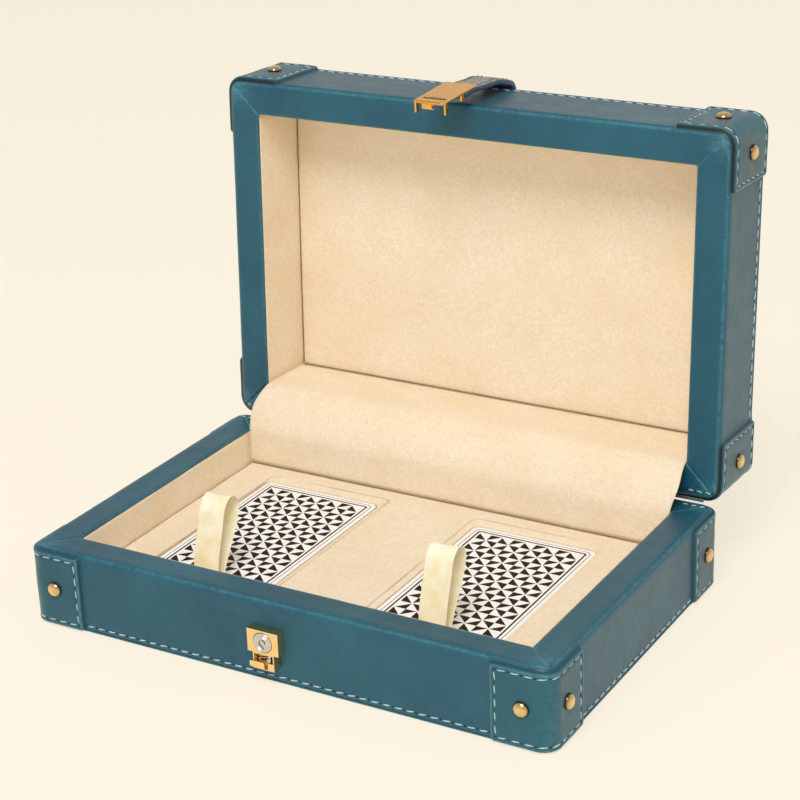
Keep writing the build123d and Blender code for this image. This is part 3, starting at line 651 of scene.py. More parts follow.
def leather_cover(prefix):
    half = HALVES[prefix]
    top = half["height"]
    outline = [(1.3, 1.25), (0.7, 1.22), (0.28, 1.32), (0.06, 1.62), (0, 2.1)]
    foot, bend = 3, top - RIM_ROUND
    count = round((bend - foot) / 2.5)
    outline += [(0, foot + (bend - foot) * k / count) for k in range(count)]
    outline += rim_arc(bend, 7)
    outline += [(3.2, top), (4.4, top), (6, top), (8, top), (10, top), (12, top), (13.2, top)]
    outline += [(13.8, top - 0.1), (14.2, top - 0.38), (14.42, top - 0.8), (14.45, top - 1.35)]
    outline += [(13, top - 1.3), (7, top - 1.3), (1.3, top - 1.3)]
    section = [(d, z, max(CORNER - d, 0.8)) for d, z in outline]
    points = round_the_box(section)
    shown = len(outline) - 3
    rows, columns = points.shape[:2]
    inset = np.array([d for d, z in outline])[:, None]
    level = np.array([z for d, z in outline])[:, None]
    on_rim = np.clip((level - bend) / RIM_ROUND, 0, 1)
    dx, dy = HALF_X - abs(points[..., 0]), HALF_Y - abs(points[..., 1])
    seam = np.exp(-(((dx - dy) / math.sqrt(2)) / 0.42) ** 2) * on_rim
    corner = np.exp(-(np.hypot(dx - 3.5, dy - 3.5) / 5.5) ** 2) * on_rim
    ripple = np.sin(np.arctan2(dy, dx) * 22) * corner
    sink = 0.34 * seam - 0.16 * ripple + abs(lumps(points, 21, 0.22, 3.1))
    sink -= 0.12 * np.exp(-((inset - 4.2) / 1.5) ** 2) * on_rim
    sink[shown:] = 0
    inward = np.zeros_like(points)
    inward[..., 2] = -sink * on_rim
    side = np.sqrt(1 - on_rim ** 2)
    on_x = dx < dy
    inward[..., 0] = np.where(on_x, -np.sign(points[..., 0]) * sink * side * 0.5, 0)
    inward[..., 1] = np.where(on_x, 0, -np.sign(points[..., 1]) * sink * side * 0.5)
    # The rim's outer edge and its corners are paler, partly rubbed dye and partly a painted highlight;
    # the inner edge, the wall's foot and the mitred seams are rubbed paler.
    wear_and_painted_light = np.exp(-((inset - 1.0) / 0.6) ** 2) * on_rim * 0.55 + 0.6 * corner
    wear_and_painted_light = np.maximum(wear_and_painted_light, np.exp(-((inset - 14.1) / 0.5) ** 2) * 0.35)
    wear_and_painted_light = np.maximum(wear_and_painted_light, 0.45 * np.exp(-((level - 1.5) / 0.5) ** 2) * (inset < 1))
    wear_and_painted_light = wear_and_painted_light + 0.5 * seam + 0 * points[..., 0]
    faces = grid_faces(rows, columns, True, True)
    made = piece(f"{prefix}_leather_cover", half["place"](points + inward), faces, TEAL_COWHIDE,
                 half["body"], wear_and_painted_light)
    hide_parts(f"{prefix}_side_leather")
    return made


for prefix in HALVES:
    leather_cover(prefix)


# %% [markdown]
# ## Outer panels
# A flat panel of the same leather closes the bottom of the base and the top of the lid, under
# the turned-in edge of the cover. Rings that step inwards give it a rolled edge.


# %% Outer panels
def outer_panel(prefix):
    outer = "bottom" if prefix == "base" else "top"
    half = HALVES[prefix]
    outline = [(1.6, 1.15), (0.55, 1.15), (0.2, 1.02), (0.06, 0.72), (0.12, 0.4), (0.4, 0.14),
               (0.9, 0.02), (1.8, 0.0), (2.6, 0.12), (3.4, 0.0), (5.0, 0.0)]
    section = [(d, z, max(CORNER - d, 0.8)) for d, z in outline]
    points = round_the_box(section, 4.0)
    rows, columns = points.shape[:2]
    faces = grid_faces(rows, columns, False, True)
    faces += end_faces(rows, columns)
    level = np.array([z for d, z in outline])[:, None]
    wear_and_painted_light = 0.5 * np.exp(-((level - 0.4) / 0.35) ** 2) + 0 * points[..., 0]
    made = piece(f"{prefix}_{outer}_panel", half["place"](points), faces, TEAL_COWHIDE, half["body"],
                 wear_and_painted_light)
    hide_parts(f"{prefix}_{outer}_leather")


for prefix in HALVES:
    outer_panel(prefix)

# %% [markdown]
# ## Corner caps
# A folded cap of thicker cowhide guards each corner, sewn all round and held by two rivets. Its
# edge is cut and burnished round, and the sewing pulls a shallow channel into it. A point on a
# cap is found from its way round the corner and its height, so the same sum also guides the
# thread.

# %% Corner caps
CORNERS = {"front_left": (-1, -1), "front_right": (1, -1), "back_left": (-1, 1), "back_right": (1, 1)}
BEND = CORNER + 1.2  # radius at which the way round the corner is measured
CAP_REACH = BEND * math.pi / 4 + CAP_LENGTH - CORNER
CAP_FOOT, CAP_BELOW_RIM = 0.4, 1.4
RIVET_ALONG, RIVET_HEIGHT, RIVET_OUT = 11.5, 17.0, 1.2
SEAM_INSET = 2.3


def round_corner(corner, way, height, off):
    """A point at some way round a corner, off the box's face, and the direction out of it."""
    sx, sy = CORNERS[corner]
    turn = np.clip(way / BEND, -math.pi / 4, math.pi / 4) + math.pi / 4
    extra = max(abs(way) - BEND * math.pi / 4, 0)
    x = HALF_X - CORNER + (CORNER + off) * math.cos(turn) - (extra if way > 0 else 0)
    y = HALF_Y - CORNER + (CORNER + off) * math.sin(turn) - (extra if way < 0 else 0)
    return (x * sx, y * sy, height), (math.cos(turn) * sx, math.sin(turn) * sy, 0)


def corner_cap(prefix, corner):
    half = HALVES[prefix]
    head = half["height"] - CAP_BELOW_RIM
    near = [0.05, 0.17, 0.36, 0.6, 0.95, 1.4, 1.85, 2.3, 2.75, 3.2, 4.2]
    ways = [w - CAP_REACH for w in steps(2 * CAP_REACH, near, 0.9)]
    heights = [CAP_FOOT + h for h in steps(head - CAP_FOOT, near, 1.2)]
    # The rows past the cap's edge lie on the cover as a thin skirt that carries painted shade: the dark
    # gap under the edge.
    ways = [-CAP_REACH - 0.6, -CAP_REACH - 0.3, *ways, CAP_REACH + 0.3, CAP_REACH + 0.6]
    heights += [head + 0.35, head + 0.7, head + 0.95]
    rivet_way = BEND * math.pi / 4 + RIVET_ALONG - CORNER
    outer, inner, wear_and_painted_light = [], [], []
    for h in heights:
        for w in ways:
            a, b = CAP_REACH - abs(w), min(h - CAP_FOOT, head - h)
            edge = min(a, b)
            if a < 1.8 and b < 1.8:
                edge = 1.8 - math.hypot(1.8 - a, 1.8 - b)
            lip = min(max(edge, 0), 0.75) / 0.75
            off = CAP_THICK * (0.12 + 0.88 * math.sqrt(1 - (1 - lip) ** 2)) if edge >= 0 else 0.05
            fall = max(RIM_ROUND - half["height"] + h, 0)
            fall = RIM_ROUND - math.sqrt(RIM_ROUND ** 2 - fall ** 2) if edge < 0 else 0
            off -= fall
            off -= 0.34 * math.exp(-((edge - SEAM_INSET) / 0.5) ** 2) * (edge > 0.5)
            off += 0.14 * math.exp(-((edge - 1.25) / 0.5) ** 2)
            to_rivet = math.hypot(abs(w) - rivet_way, h - RIVET_HEIGHT)
            off -= 0.22 * math.exp(-(to_rivet / 4.6) ** 4)
            point, out = round_corner(corner, w, h, off)
            soft = noise.noise(Vector(point) / 9.0 + Vector((prefix == "lid", 0, 7))) * 0.16 * lip
            soft *= 1 - math.exp(-(to_rivet / 5) ** 4)
            outer.append(np.array(point) + np.array(out) * soft)
            inner.append(round_corner(corner, w, h, -0.35 - fall)[0])
            # The rolled edge gets a painted highlight, the bend a little rubbed paleness, and the skirt
            # painted shade, darkest on the lid's rim side.
            bent = math.exp(-(w / 4.2) ** 2) * 0.16
            painted_shade = 0.6 if prefix == "base" or head - h > a else 1.7
            painted_shade *= math.exp(-((edge + 0.16) / 0.27) ** 2)
            wear_and_painted_light.append(0.6 * math.exp(-((edge - 0.85) / 0.36) ** 2) + bent - painted_shade)
    shape = (len(heights), len(ways), 3)
    points, faces = shell(np.array(outer).reshape(shape), np.array(inner).reshape(shape))
    made = piece(f"{prefix}_corner_cap_{corner}", half["place"](points), faces, CAP_COWHIDE,
                 half["body"], wear_and_painted_light + [0] * len(inner))
    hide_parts(f"{prefix}_cap_{corner}")


for prefix in HALVES:
    for corner in CORNERS:
        corner_cap(prefix, corner)

# %% [markdown]
# ## Seams
# The box is sewn in a saddle stitch: pale blue thread that shows as slanted dashes about
# 5 mm apart, each diving into a needle hole at both ends. Each dash is a small bead bent over
# the leather, and each hole a small dark bead: painted shade of the hole. One object holds a
# whole half's thread.

# %% Thread along a path
STITCH_PITCH, STITCH_LENGTH, THREAD_WIDE, THREAD_HIGH = 5.2, 3.5, 0.62, 0.36
HOLE_LONG, HOLE_WIDE, HOLE_HIGH = 1.0, 0.9, 0.16


class Seam:
    """Collects the stitches and needle holes of one object."""

    def __init__(self):
        self.points, self.faces, self.holes, self.hole_faces = [], [], [], []

    def bead(self, centre, along, out, length, wide, high, store, store_faces, rings=7, sides=8):
        across = np.cross(out, along)
        start = len(store)
        for i in range(rings):
            u = -1 + 2 * i / (rings - 1)
            girth = max(0.12, (1 - abs(u) ** 2.6)) ** 0.5
            sink = 0.5 * high * abs(u) ** 3
            for k in range(sides):
                a = 2 * math.pi * k / sides
                store.append(centre + along * (u * length / 2)
                             + across * (math.cos(a) * wide / 2 * girth)
                             + out * (math.sin(a) * high * girth - sink))
        store_faces.extend(grid_faces(rings, sides, False, True, start))
        store_faces.extend(end_faces(rings, sides, start))

    def sew(self, path, outs, pitch=STITCH_PITCH, slant=6.0):
        """Stitches at an even pitch along a path, with one outward direction or one for each point."""
        path = np.asarray(path, float)
        outs, run = np.broadcast_to(np.asarray(outs, float), path.shape), run_along(path)
        count = max(1, round(run[-1] / pitch))
        step = run[-1] / count
        for k in range(count + 1):
            at = [np.interp(np.clip((k + m) * step, 0, run[-1]), run, path[:, c])
                  for m in (0, 0.48, 0.5, 0.52) for c in range(3)]
            at = np.array(at).reshape(4, 3)
            out = np.array([np.interp((k + 0.5) * step, run, outs[:, c]) for c in range(3)])
            out /= np.linalg.norm(out)
            level = np.cross(out, [0.2, 0.3, 0.9])
            level /= np.linalg.norm(level)
            # Each needle hole is a small dark bead: painted shade of the hole.
            self.bead(at[0] - out * 0.02, level, out, HOLE_LONG, HOLE_WIDE, HOLE_HIGH,
                      self.holes, self.hole_faces, 5)
            if k == count:
                break
            along = at[3] - at[1]
            along /= np.linalg.norm(along)
            wander = math.radians(slant + 3.5 * math.sin(7.3 * k + run[-1]))
            tilted = along * math.cos(wander) + np.cross(out, along) * math.sin(wander)
            self.bead(at[2] + out * 0.06, tilted, out, STITCH_LENGTH * step / STITCH_PITCH,
                      THREAD_WIDE, THREAD_HIGH, self.points, self.faces)

    def make(self, name, place, body):
        made = piece(f"{name}_thread", place(self.points), self.faces, THREAD, body)
        painted_shade = piece(f"{name}_needle_hole_shades", place(self.holes), self.hole_faces, NEEDLE_HOLE_SHADE, body)
        return made, painted_shade


# %% Seams of each half
def between(first, last, count=60):
    return [np.array(first) + (np.array(last) - np.array(first)) * k / count for k in range(count + 1)]


def sew_half(prefix):
    half, seam = HALVES[prefix], Seam()
    level = 3.0 if prefix == "base" else 3.9
    end_x, end_y = HALF_X - CAP_LENGTH - 0.6, HALF_Y - CAP_LENGTH - 0.6
    for side in (-1, 1):
        y, x = side * HALF_Y, side * HALF_X
        seam.sew(between((-end_x, y, level), (end_x, y, level)), (0, side, 0))
        seam.sew(between((x, -end_y, level), (x, end_y, level)), (side, 0, 0))
    head, reach = half["height"] - CAP_BELOW_RIM - SEAM_INSET, CAP_REACH - SEAM_INSET
    low, off = CAP_FOOT + SEAM_INSET, CAP_THICK - 0.3
    for corner in CORNERS:
        ways = np.linspace(-reach, reach, 80)
        heights = np.linspace(low, head, 30)
        for row in (low, head):
            pairs = [round_corner(corner, w, row, off) for w in ways]
            seam.sew([p for p, _ in pairs], [n for _, n in pairs])
        for way in (-reach, reach):
            pairs = [round_corner(corner, way, h, off) for h in heights]
            seam.sew([p for p, _ in pairs], [n for _, n in pairs])
    setback = 4.4 if prefix == "base" else 3.0
    for side in (-1, 1):
        start, end = side * (HALF_X - RIM + 0.8), side * (HALF_X - 2.4)
        y, top = HALF_Y - setback, half["height"]
        seam.sew(between((start, y, top - 0.1), (end, y, top - 0.12)), (0, 0, 1), 4.4, 9.0)
    seam.make(prefix, half["place"], half["body"])


for prefix in HALVES:
    sew_half(prefix)

# %% [markdown]
# ## Suede lining
# Strips of suede line the walls of both halves and meet softly in the corners. They are glued
# over board, so they stay flat but for slight ripples. The same sweep as for the leather makes
# them, on the inside of the walls.


# %% Suede walls
def suede_walls(prefix):
    half = HALVES[prefix]
    foot = 1.2 + half["board"] + 0.05
    top = half["height"] - 1.42
    heights = [foot, foot + 1.5, *np.linspace(foot + 4, top - 1.5, 8), top]
    outline = [(13.75, foot, 1.4)] + [(14.44, z, 1.3) for z in heights] + [(13.75, top, 1.4)]
    points = round_the_box(outline, 3.0)
    rows, columns = points.shape[:2]
    dx, dy = INNER_X - abs(points[..., 0]), INNER_Y - abs(points[..., 1])
    near_corner = np.exp(-((dx + dy) / 2.4) ** 2)
    nap = lumps(points, 16, 0.10, 11.0) * (np.arange(rows)[:, None] % (rows - 1) > 0)
    points[..., 0] += np.where(dx < dy, nap, 0)
    points[..., 1] += np.where(dx < dy, 0, nap)
    # The walls darken towards each inner corner: painted shade where they meet.
    made = piece(f"{prefix}_suede_walls", half["place"](points), grid_faces(rows, columns, True, True),
                 SUEDE, half["body"], 0.35 * near_corner)
    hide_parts(*(f"{prefix}_lining_{side}" for side in ("front", "back", "left", "right")))


for prefix in HALVES:
    suede_walls(prefix)


# %% [markdown]
# ## Height fields
# The platform for the decks, the pads in its wells and the padded panel in the lid are all flat
# things with soft tops. A grid whose lines crowd together at the edges, lifted to a height at
# each point, keeps those edges soft and the rest light.


# %% A slab with a soft top
def slab(name, xs, ys, top, bottom, material, body, wear_and_painted_light=None, place=as_base):
    grid = np.array([[(x, y, top(x, y)) for x in xs] for y in ys])
    under = grid.copy()
    under[..., 2] = bottom
    points, faces = shell(grid, under)
    marks = None
    if wear_and_painted_light:
        marks = [wear_and_painted_light(x, y) for y in ys for x in xs] + [0] * (len(xs) * len(ys))
    return piece(name, place(points), faces, material, body, marks, sharp=60)


def rounded_distance(x, y, middle, half_x, half_y, radius):
    """How far a point is outside a rounded rectangle; less than 0 inside it."""
    qx, qy = abs(x - middle[0]) - half_x + radius, abs(y - middle[1]) - half_y + radius
    return math.hypot(max(qx, 0), max(qy, 0)) + min(max(qx, qy), 0) - radius


def lines(spans, gap):
    """Grid lines from the first to the last place, crowded round each place in between."""
    found = {round(v, 3) for v in (spans[0], spans[-1])}
    crowd = [0.0, 0.12, 0.3, 0.55, 0.85, 1.2, 1.7, 2.4, 3.2]
    for s in spans:
        near = {s + d * c for c in crowd for d in (-1, 1)}
        found |= {round(v, 3) for v in near if spans[0] <= v <= spans[-1]}
    found = sorted(found)
    full = [found[0]]
    for v in found[1:]:
        parts = max(1, math.ceil((v - full[-1]) / gap))
        last = full[-1]
        full += [last + (v - last) * k / parts for k in range(1, parts + 1)]
    return full


# %% Card platform
WELLS = {side: (np.array(node_box(f"well_pad_{side}")[0][:2]) + node_box(f"well_pad_{side}")[1][:2]) / 2
         for side in ("left", "right")}
WELL_X, WELL_Y = 30.5, 50.0
INSERT_LOW, INSERT_HIGH = node_box("card_insert")
DECK_BOXES = {side: node_box(f"deck_{side}_stack") for side in WELLS}
DECK_PLAY = 0.5  # between the suede and a deck


def well_place(x, y):
    """How far a point is outside the nearer well, and outside the way up of its deck."""
    side = min(WELLS, key=lambda s: rounded_distance(x, y, WELLS[s], WELL_X, WELL_Y, 3.0))
    low, high = DECK_BOXES[side]
    front = WELLS[side][1] - WELL_Y
    middle = ((low[0] + high[0]) / 2, (front + high[1]) / 2)
    deck = rounded_distance(x, y, middle, (high[0] - low[0]) / 2, (high[1] - front) / 2, 3.5)
    return rounded_distance(x, y, WELLS[side], WELL_X, WELL_Y, 3.0), deck - DECK_PLAY


def pressed_line(x, y, d):
    """How deeply the suede is creased, from 0 to 1, where it turns down into a well."""
    strength = 0.65 + 0.9 * noise.noise(Vector((x / 22, y / 22, 6.0)))
    return min(max(strength, 0.0), 1.0) * math.exp(-(d / 0.42) ** 2)


def from_edge(x, y, low, high):
    return min(x - low[0], high[0] - x, y - low[1], high[1] - y)


def platform_top(x, y):
    rim = from_edge(x, y, INSERT_LOW, INSERT_HIGH)
    drop = 0.55 * math.exp(-(rim / 0.5) ** 2) if rim < 2 else 0
    d, slack = well_place(x, y)
    if slack <= 0:
        return max(FLOOR + 0.1, PLATFORM_TOP - 1.55 + slack * 22)
    swell = 0.10 * noise.noise(Vector((x / 24, y / 24, 3.0)))
    swell += 0.05 * noise.noise(Vector((x / 7, y / 7, 9.0)))
    slope = 1.15 * (-d / (slack - d)) ** 1.2 if d < 0 else 0
    crease = 0.12 * math.exp(-(d / 0.9) ** 2) + 0.35 * pressed_line(x, y, d)
    return PLATFORM_TOP - 0.14 - drop - crease - slope + swell


# Painted shade on the platform: darker along its outer edge by the walls, in the wells under the decks,
# and in the pressed lines round the wells.
def platform_painted_shade(x, y):
    rim = from_edge(x, y, INSERT_LOW, INSERT_HIGH)
    d, slack = well_place(x, y)
    return 0.6 * math.exp(-(rim / 0.5) ** 2) + (0.25 if slack < 0 else 0.6 * pressed_line(x, y, d))


sides = [c[0] + d * WELL_X for c in WELLS.values() for d in (-1, 1)]
sides += [box[k][0] + (2 * k - 1) * DECK_PLAY for box in DECK_BOXES.values() for k in (0, 1)]
ends = {round(c[1] + d * WELL_Y, 3) for c in WELLS.values() for d in (-1, 1)}
ends |= {round(box[1][1] + DECK_PLAY, 3) for box in DECK_BOXES.values()}
xs = lines([INSERT_LOW[0], *sorted(sides), INSERT_HIGH[0]], 2.6)
ys = lines([INSERT_LOW[1], *sorted(ends), INSERT_HIGH[1]], 2.6)
platform = slab("suede_card_platform", xs, ys, platform_top, FLOOR + 0.02, SUEDE, "tray",
                platform_painted_shade)
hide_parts("card_insert")

# %% Pads in the wells
def well_pad(node):
    low, high = node_box(node)

    def top(x, y):
        return high[2] - 0.02 - 0.25 * math.exp(-(from_edge(x, y, low, high) / 0.5) ** 2)

    pad = slab(f"suede_{node}", lines([low[0], high[0]], 4), lines([low[1], high[1]], 4), top,
               low[2] + 0.12, SUEDE, "tray")
    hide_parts(node)


for side in WELLS:
    well_pad(f"well_pad_{side}")

# %% [markdown]
# ## Lid panel
# The inside of the lid is a thin foam pad under suede, pressed in last. It is flat with a soft
# roll at its edges, and painted shade darkens it where it meets the walls.

# %% Lid panel
PANEL_X, PANEL_Y = INNER_X - 0.3, INNER_Y - 0.3


def panel_face(x, y):
    rim = min(PANEL_X - abs(x), PANEL_Y - abs(y))
    roll = 0.7 * (1 - min(rim / 1.6, 1)) ** 2.2
    pillow = 0.25 * (1 - math.exp(-rim / 14)) + 0.14 * noise.noise(Vector((x / 30, y / 30, 5.0)))
    return 6.0 - 0.45 - roll + pillow


# Painted shade: the pad darkens towards the walls, most in a thin line along them.
def panel_painted_shade(x, y):
    rim = min(PANEL_X - abs(x), PANEL_Y - abs(y))
    return 0.4 * math.exp(-(rim / 0.55) ** 2) + 0.10 * math.exp(-rim / 3.5)


panel = slab("suede_lid_pad", lines([-PANEL_X, PANEL_X], 3.2), lines([-PANEL_Y, PANEL_Y], 3.2),
             panel_face, 3.85, SUEDE, "lid", panel_painted_shade, as_lid)
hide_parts("lid_panel")

# %% [markdown]
# ## Hinge flap
# One piece of suede runs from the back of the platform, over the gap at the hinge and along the
# lid's back wall to its panel. It bellies out a little over the gap, because it has to be long
# enough when the lid opens. It is swept along its side outline in the open pose and given to
# no body.


# %% Hinge flap
def flap_outline():
    """Side outline of the flap's shown face, in (y, z), with the lid open."""
    wall = INNER_Y - 0.06
    leg = [np.array([wall, z]) for z in np.linspace(PLATFORM_TOP + 0.1, BASE_HEIGHT - 0.6, 9)]
    lid_leg = [opened([0, wall, z])[1:] for z in np.linspace(LID_RIM + 0.6, LID_PANEL - 0.1, 16)]
    a, b = leg[-1], lid_leg[0]
    chord = b - a
    out = np.array([-chord[1], chord[0]]) / np.linalg.norm(chord)
    belly = []
    for k in range(1, 18):
        u = k / 18
        belly.append(a + chord * u + out * (2.6 * math.sin(math.pi * u) ** 0.8))
    return np.array(leg + belly + lid_leg)


def hinge_flap():
    line = flap_outline()
    for _ in range(2):
        line[1:-1] = (line[:-2] + 2 * line[1:-1] + line[2:]) / 4
    out = -beside(line)
    half = INNER_X - 0.3
    xs = [x - half for x in steps(2 * half, [0.12, 0.35, 0.8, 1.6, 3.2], 3.2)]
    middle = np.exp(-(np.arange(len(line)) - 16.5) ** 2 / 42)
    outer, inner = [], []
    for i, (y, z) in enumerate(line):
        for x in xs:
            edge = half - abs(x)
            spread = 1.5 * middle[i] * math.exp(-edge / 5)
            sag = 0.28 * noise.noise(Vector((x / 34, i / 9, 2.0))) * (0.3 + middle[i])
            sag += 0.10 * noise.noise(Vector((x / 10, i / 4, 8.0))) * (0.2 + middle[i])
            lip = 0.35 * math.exp(-(edge / 0.4) ** 2)
            wide = x + math.copysign(spread, x)
            outer.append((wide, y + out[i, 0] * (0.62 + sag - lip), z + out[i, 1] * (0.62 + sag - lip)))
            inner.append((wide, y + out[i, 0] * 0.04, z + out[i, 1] * 0.04))
    shape = (len(line), len(xs), 3)
    points, faces = shell(np.array(outer).reshape(shape), np.array(inner).reshape(shape))
    row = np.arange(len(line))[:, None]
    # Painted shade darkens both ends of the flap, where it meets the platform and the lid's panel.
    wear_and_painted_light = 0.35 * np.exp(-row / 0.6) + 0.4 * np.exp(-(len(line) - 1 - row) / 0.5)
    wear_and_painted_light = np.concatenate([(wear_and_painted_light + np.zeros(len(xs))).ravel(), np.zeros(len(inner))])
    flap = piece("suede_hinge_flap", points, faces, SUEDE, None, wear_and_painted_light)
    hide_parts("hinge_gusset")
    end = opened([0, INNER_Y, LID_RIM - 0.1])
    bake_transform(flap)


hinge_flap()

# %% [markdown]
# ## Decks
# A deck is 52 cards. The pile isn't perfectly square, so each card in it is shifted by up to a
# tenth of a millimetre or so. The top card is an object of its own, because its printed back
# is drawn from its own middle.

# %% Decks
DECK_CORNER = 3.5
CARD = 0.24


def card_rim(inset, height, dx, dy):
    radius = DECK_CORNER - inset
    points = []
    for k, (sx, sy) in enumerate([(1, 1), (-1, 1), (-1, -1), (1, -1)]):
        for step in range(7):
            a = math.radians(90 * k + 15 * step)
            points.append((sx * (CARD_X / 2 - DECK_CORNER) + radius * math.cos(a) + dx,
                           sy * (CARD_Y / 2 - DECK_CORNER) + radius * math.sin(a) + dy, height))
    return points


def card_pile(name, side, count, first_inset, material):
    low, high = node_box(f"deck_{side}_{'top_card' if count == 1 else 'stack'}")
    middle = np.array([*(low[:2] + high[:2]) / 2, 0 if count > 1 else high[2]])
    draw = np.random.default_rng(7 if side == "left" else 8)
    rows = [card_rim(first_inset + 1.0, low[2], 0, 0)]
    for k in range(count):
        dx, dy = draw.uniform(-0.09, 0.09, 2) if count > 1 else (0, 0)
        z = low[2] + k * CARD
        for inset, up in ((0.1, 0.01), (0, 0.07), (0, CARD - 0.07), (0.1, CARD - 0.01)):
            rows.append(card_rim(first_inset + inset, z + up, dx, dy))
    if count == 1:
        rows[-1] = card_rim(first_inset + 0.08, high[2], 0, 0)
    columns = len(rows[0])
    points = np.array(rows) + (middle[0], middle[1], 0)
    faces = grid_faces(len(rows), columns, False, True)
    faces += end_faces(len(rows), columns)
    made = piece(name, points, faces, material, f"deck_{side}", sharp=35, origin=middle)
    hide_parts(f"deck_{side}_{'top_card' if count == 1 else 'stack'}")


for side in WELLS:
    card_pile(f"card_pile_{side}", side, 51, 0.1, CARD_EDGE)
    card_pile(f"top_card_{side}", side, 1, 0.0, PRINTED_CARD)

# %% [markdown]
# ## Pull ribbons
# A loop of satin ribbon stands up in front of each deck and runs back under it, so that a pull
# lifts the cards out. The loop leans back and is open at the side. A strip swept along a smooth
# line with a faint curl across its width makes it.


# %% Smooth lines
def smooth_line(points, per_span=8):
    """A Catmull-Rom line through points."""
    p = np.asarray(points, float)
    p = np.concatenate([[2 * p[0] - p[1]], p, [2 * p[-1] - p[-2]]])
    line = []
    for i in range(1, len(p) - 2):
        a, b, c, d = p[i - 1:i + 3]
        for k in range(per_span):
            t = k / per_span
            line.append(0.5 * (2 * b + (c - a) * t + (2 * a - 5 * b + 4 * c - d) * t * t
                               + (3 * b - a - 3 * c + d) * t ** 3))
    line.append(p[-2])
    return np.array(line)


# %% Pull ribbons
RIBBON_HALF, RIBBON_THICK = 6.0, 0.36


def pull_ribbon(side):
    node = f"pull_ribbon_{side}"
    low, high = node_box(node)
    deck_low, deck_high = node_box(f"deck_{side}_stack")
    x, front = (low[0] + high[0]) / 2, deck_low[1]
    floor, top = low[2] + 0.2, high[2] - 0.2
    rise, fall = front - 0.9, front - 4.5
    line = smooth_line([
        (front + 40, floor), (front + 25, floor), (front + 8, floor), (front + 1.6, floor),
        (rise - 0.1, floor + 1.2), (rise, floor + 6), (rise, deck_high[2] + 0.4),
        (rise + 3.4, 25.0), (rise + 8.2, 33.0), (rise + 12.0, 40.5), (rise + 13.3, 45.6),
        (rise + 12.0, 48.6), (rise + 9.0, top), (rise + 5.9, 48.4), (rise + 3.9, 45.3),
        (rise + 1.9, 38.5), (rise - 1.2, 30.0), (fall + 0.5, 22.5), (fall, 17.0), (fall, 11.0),
        (fall, floor)], 7)
    out = beside(line)
    widths = [-1, -0.985, -0.95, -0.88, -0.6, -0.3, 0, 0.3, 0.6, 0.88, 0.95, 0.985, 1]
    outer, inner = [], []
    for i, (y, z) in enumerate(line):
        loose = min(max((z - 17) / 20, 0), 1)
        for w in widths:
            curl = 0.5 * loose * (w * w - 0.4) + 0.22 * loose * math.sin(i / 13 + 2.2 * w)
            selvage = 0.5 if abs(w) > 0.97 else 1.12 if abs(w) > 0.9 else 1
            sway = 0.35 * loose * math.sin(i / 26)
            for store, face in ((outer, 1), (inner, -1)):
                off = curl + face * RIBBON_THICK / 2 * selvage
                store.append((x + w * RIBBON_HALF + sway, y + out[i, 0] * off, z + out[i, 1] * off))
    shape = (len(line), len(widths), 3)
    points, faces = shell(np.array(outer).reshape(shape), np.array(inner).reshape(shape))
    made = piece(f"satin_{node}", points, faces, SATIN, f"deck_{side}")
    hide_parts(node)


for side in WELLS:
    pull_ribbon(side)

# %% [markdown]
# ## Strap
# A short strap of two leathers sewn together holds the brass hasp. One end is sewn to the lid's
# top; from there it bends over the edge and arches down to the hasp. It is one strip on the
# real box and one mesh here, made in the open pose and given to no body.

# %% Strap
STRAP_HALF, STRAP_THICK = 7.0, 2.6
HASP_FACE, HASP_FOOT, HASP_METAL, HASP_LONG = 5.8, 10.9, 0.9, 27.5
HASP_LEAN = math.radians(5)


def on_hasp(off_front, way_up):
    """(y, z) of a point of the closed hasp, from how far it stands off and its way up."""
    inward = HASP_FACE - off_front
    return np.array([FRONT - HASP_FACE + inward * math.cos(HASP_LEAN) - way_up * math.sin(HASP_LEAN),
                     HASP_FOOT + inward * math.sin(HASP_LEAN) + way_up * math.cos(HASP_LEAN)])


def strap_line():
    """The strap's middle line in (y, z) with the lid closed, from the lid's top to the hasp."""
    middle = STRAP_THICK / 2
    radius = math.hypot(1.8, 2.55) + 0.25 + middle
    centre = np.array([FRONT + 1.8, LID_TOP - 2.55])
    bend = [centre + radius * np.array([-math.sin(a), math.cos(a)]) for a in np.radians([8, 30, 55, 78])]
    top = [(FRONT + back, LID_TOP + middle) for back in (21, 16, 11, 6.5)]
    under = HASP_FACE - HASP_METAL - middle
    arch = [(FRONT - 6.9 + middle, LID_TOP - 14.5), (FRONT - 6.75 + middle, LID_TOP - 19.0)]
    end = [on_hasp(under, HASP_LONG - down) for down in (0, 5, 11.2)]
    return smooth_line([*top, *bend, (FRONT - 4.4, LID_TOP - 7.4), *arch, *end], 7)


